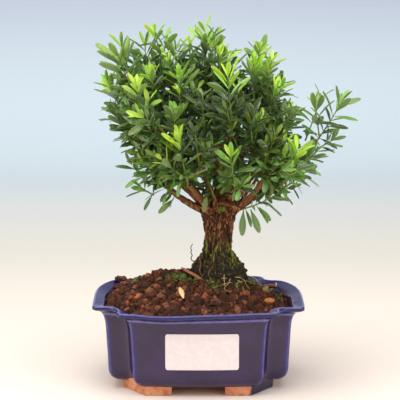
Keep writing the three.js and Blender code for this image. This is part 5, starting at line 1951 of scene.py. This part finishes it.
    def tips(self) -> list[Shoot]:
        """The freshest tufts, where growth has just opened."""
        shoots = []
        for x, y, z, leaf in self.tufts:
            tip = Vector((x, y, z))
            outward = ((tip - self.heart).normalized() + Vector((0, 0, 0.5))).normalized()
            shoots.append(Shoot(tip - outward * self.tuft_stem, tip, leaf, 5, self.tuft_youth))
        for row in self.sprays:
            shoots.append(Shoot(Vector(row[:3]), Vector(row[3:6]), row[6], int(row[7]), row[8]))
        return shoots

    def lone_leaves(self) -> Draft:
        """Single leaves that hang free below and beside the crown, as short chains along each."""
        draft = Draft()
        for row in self.lone:
            foot, tip = Vector(row[:3]), Vector(row[3:6])
            way = (tip - foot).normalized()
            across = (Vector((0, -1, 0)) - way * -way.y).normalized()
            length = (tip - foot).length * MM
            marks = {"leaf": length, "youth": row[7], "dead": row[6], "turn": 0.0, "lean": 0.0}
            pairs = {mark: [value, 0.0] for mark, value in marks.items()}
            # The hanging leaves carry a fixed share of painted shade.
            draft.chain([foot, tip], pairs | {"old": [0.3, 0.3], "across": [across, across]})
        return draft

    def stems(self, shoots: list[Shoot]) -> Draft:
        """The shoots' stems as chains of points, each with the marks of its pair of leaves.

        Args:
            shoots: The shoots that they belong to.

        Returns:
            A draft with one chain for each shoot.
        """
        draft = Draft()
        for shoot in shoots:
            shares = [0.0] + [
                mix(self.first_pair, 1.0, (pair / (shoot.pairs - 1)) ** 0.85) for pair in range(shoot.pairs)
            ]
            points = [shoot.at(share) for share in shares]
            ways = [(shoot.at(share + 0.01) - shoot.at(share - 0.01)).normalized() for share in shares]
            level = shoot.tip - shoot.foot
            side = Vector((0, 1, 0)) if abs(level.normalized().y) < 0.75 else Vector((1, 0, 0))
            lengths = [0.0] + [shoot.leaf * mix(0.84, 1.08, eased(0.0, 0.7, share)) for share in shares[1:]]
            lengths[-1] *= 0.6
            lengths[-2] *= 0.85
            phase = math.tau * chance(shoot.tip.x + 3.1 * shoot.tip.z)
            tip_lean = mix(self.lean_at_tip, self.lean_at_tip + 8, chance(shoot.tip.y))
            foot_lean = mix(self.lean_at_foot, 48, min(1.0, shoot.youth) * 0.7)
            draft.chain(points, {
                "radius": [self.stem_radius * (1 - 0.45 * share) * MM for share in shares],
                "green": [eased(0.0, 0.4, share) * 0.6 + 0.4 for share in shares],
                "crack": [0.0] * len(shares),
                "leaf": [length * MM for length in lengths],
                "youth": [min(1.0, shoot.youth * eased(0.35, 0.95, share)) for share in shares],
                "dead": [0.0] * len(shares),
                # Painted shade, strongest half-way up in the crown's middle.
                "old": [self.age(point) for point in points],
                "turn": [phase + math.pi / 2 * pair for pair in range(len(shares))],
                "lean": [math.radians(mix(foot_lean, tip_lean, share ** 1.3)) for share in shares],
                "across": [side.cross(way).normalized() for way in ways],
            })
        return draft

    def blades(self) -> bpy.types.Collection:
        """Leaves of unit length along X with their upper face at +Z, bent in several ways."""
        shapes = []
        stations = (0.0, 0.12, 0.3, 0.5, 0.7, 0.87, 0.96, 1.0)
        for kind, (droop, cup, curl) in enumerate(self.blade_bends):
            draft = Draft()
            sections = []
            for s in stations:
                half = 0.13 * max(math.sin(math.pi * s ** 1.5), 0.0) ** (1 - 0.5 * s) + 0.012
                sink = -droop * s * s
                sway = curl * s * s
                fold = 0.25 * cup + 0.004
                section = [(-1, cup), (-0.5, fold), (0, -0.008), (0.5, fold), (1, cup), (0, -0.026)]
                flat = min(1, half * 12)
                sections.append(draft.add(
                    Vector((s, sway + side * half, sink + lift * flat)) / MM for side, lift in section
                ))
            draft.skin([ring[::-1] for ring in sections])
            draft.close([ring[::-1] for ring in sections])
            blade = draft.build(f"blade_{kind}", Place(Vector()))
            self.map_blade(blade.data, stations)
            bpy.context.scene.collection.objects.unlink(blade)
            shapes.append(blade)
        return gathered("blades", shapes)

    def map_blade(self, mesh: bpy.types.Mesh, stations: Sequence[float]) -> None:
        """Gives a blade its own map, across and along, and marks its underside and margins.

        Args:
            mesh: The blade's mesh, made ring by ring.
            stations: How far along the blade each ring lies.
        """
        across = (0.0, 0.25, 0.5, 0.75, 1.0, 0.5)
        chart = mesh.uv_layers.new(name="blade")
        for loop in mesh.loops:
            ring, side = divmod(loop.vertex_index, len(across))
            chart.data[loop.index].uv = (across[side], stations[ring])
        under = mesh.attributes.new("underside", "FLOAT", "FACE")
        for face in mesh.polygons:
            sides = {number % len(across) for number in face.vertices}
            under.data[face.index].value = float(5 in sides)
        sharp = mesh.attributes.new("sharp_edge", "BOOLEAN", "EDGE")
        for edge in mesh.edges:
            low, high = (number % len(across) for number in edge.vertices)
            sharp.data[edge.index].value = low == high and low in (0, 4)

    def make(self, rods: Recipe, leaves: Recipe) -> None:
        """Grows twigs, stems and leaves, and settles them.

        Args:
            rods: The recipe that makes rods of chains.
            leaves: The recipe that sets leaves on stems.
        """
        grown = self.main_shoots()
        twigs = [self.twig(shoot) for shoot in grown]
        small = self.small_shoots(grown, twigs)
        LOG.info("crown: %d main shoots, %d small ones", len(grown), len(small))
        bark = Bark().material()
        draft = Draft()
        for points in twigs:
            shares = [i / (len(points) - 1) for i in range(len(points))]
            draft.chain(points, {
                "radius": [mix(self.twig_radius, self.stem_radius, share) * MM for share in shares],
                "green": [0.2 * share for share in shares],
                "crack": [0.0] * len(shares),
            })
        settle(rods_of(draft, "twigs", self.place, rods, 7, bark), "bark")
        nodes = [f"leafy_shoot_{i + 1:02d}" for i in range(len(grown))]
        shapes = self.blades()
        skin = LeafSkin().material()
        sets = [
            ("crown", grown, nodes), ("tip", self.tips(), []),
            ("inner_front", [shoot for shoot in small if shoot.tip.y < 0], []),
            ("inner_back", [shoot for shoot in small if shoot.tip.y >= 0], []),
        ]
        habit = {"Blades": shapes, "Kinds": len(self.blade_bends), "Finish": skin}
        for number, (name, shoots, stands_for) in enumerate(sets):
            settle(rods_of(self.stems(shoots), f"{name}_stems", self.place, rods, 6, bark), "bark")
            spray = leaves.cook(
                self.stems(shoots).build(f"{name}_leaves", self.place), LeavesEach=2,
                Seed=self.seed + number, **self.strays, **habit,
            )
            settle(spray, "young_leaf" if name == "tip" else "leaf", stands_for)
        hanging = leaves.cook(
            self.lone_leaves().build("hanging_leaves", self.place), LeavesEach=1, TurnStray=0.0,
            LeanStray=0.0, RollStray=math.radians(20), LengthStray=0.0, Seed=self.seed + 9, **habit,
        )
        settle(hanging, "leaf")
        discarded(shapes)


@dataclass
class Studio:
    """The camera at the photograph's angle, soft lights, a pale floor and a backdrop."""

    place: Place
    camera_at: Triple = (1.1, -1011.5, 299.4)
    camera_down: float = 9.723
    lens: float = 135
    sensor: float = 36
    half_width: float = 1800
    wall_foot: float = 900
    wall_top: float = 1800
    bend: float = 400
    lights: tuple[tuple[str, Triple, float, float, Colour], ...] = (
        ("sky", (-100, -250, 1400), 1500, 30, (1.0, 0.99, 0.97)),
        ("window", (-1100, -500, 700), 1300, 11, (1.0, 0.97, 0.95)),
        ("fill", (1100, -700, 500), 1100, 11, (0.97, 0.97, 1.0)),
    )
    room_colour: Colour = (0.93, 0.92, 0.93)
    room_light: float = 0.55

    def camera(self) -> None:
        """Sets up the camera."""
        data = bpy.data.cameras.new("camera")
        data.lens = self.lens
        data.sensor_width = self.sensor
        data.clip_end = 20
        camera = bpy.data.objects.new("camera", data)
        camera.location = self.place.at(Vector(self.camera_at))
        camera.rotation_euler = (math.radians(90 - self.camera_down), 0, 0)
        bpy.context.scene.collection.objects.link(camera)
        bpy.context.scene.camera = camera

    def light(self, name: str, spot: Triple, size: float, power: float, colour: Colour) -> None:
        """Adds a square soft light that faces the tree.

        Args:
            name: The light's name.
            spot: Where it stands, in millimetres.
            size: Its side, in millimetres.
            power: Its power in watts.
            colour: The colour of its light.
        """
        data = bpy.data.lights.new(name, "AREA")
        data.size = size * MM
        data.energy = power
        data.color = colour
        lamp = bpy.data.objects.new(name, data)
        lamp.location = self.place.at(Vector(spot))
        way = self.place.at(Vector((0, 0, 120))) - lamp.location
        lamp.rotation_euler = way.to_track_quat("-Z", "Y").to_euler()
        bpy.context.scene.collection.objects.link(lamp)

    def backdrop(self) -> None:
        """A floor that curves up into a backdrop, cream below and pale blue above."""
        draft = Draft()
        far, side = self.wall_foot + self.bend, self.half_width
        profile = [(-side, 0.0), (self.wall_foot, 0.0)]
        for t in (0.2, 0.5, 0.8, 1.1, 1.4):
            profile.append((self.wall_foot + self.bend * math.sin(t), self.bend - self.bend * math.cos(t)))
        profile += [(far, 500.0), (far, self.wall_top)]
        rings = [draft.add([Vector((-side, y, z)), Vector((side, y, z))]) for y, z in profile]
        for low, high in zip(rings, rings[1:]):
            draft.faces.append((low[0], low[1], high[1], high[0]))
        draft.build("backdrop", self.place, Sweep())

    def make(self) -> None:
        """Sets the whole studio."""
        self.camera()
        self.backdrop()
        for row in self.lights:
            self.light(*row)
        world = bpy.data.worlds.new("soft_room")
        world.use_nodes = True
        background = world.node_tree.nodes["Background"].inputs
        background["Color"].default_value = (*self.room_colour, 1)
        background["Strength"].default_value = self.room_light
        bpy.context.scene.world = world
        bpy.context.scene.view_settings.view_transform = "Standard"


def main() -> None:
    """Loads the frame, builds every piece round it and notes the sizes."""
    logging.basicConfig(level=logging.INFO, format="%(message)s")
    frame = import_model()
    low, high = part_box("pot")
    place = Place(Vector(((low[0] + high[0]) / 2, (low[1] + high[1]) / 2, low[2])))
    rods, leaves, scatter = rod_recipe(), leaf_recipe(), scatter_recipe()
    pot = Pot(place)
    pot.make()
    soil = Soil(place, pot)
    soil.make(scatter)
    trunk = Trunk(place)
    trunk.make()
    Litter(place, soil).make(trunk, scatter, rods)
    for name, finish in (("drain_mesh", Trim.PLASTIC), ("mesh_wire", Trim.WIRE)):
        skin = finish.material()
        for side in ("left", "right"):
            mesh = frame["nodes"][f"{name}_{side}"].data
            mesh.materials.clear()
            mesh.materials.append(skin)
    Crown(place, trunk).make(rods, leaves)
    Studio(place).make()


if __name__ == "__main__":
    main()
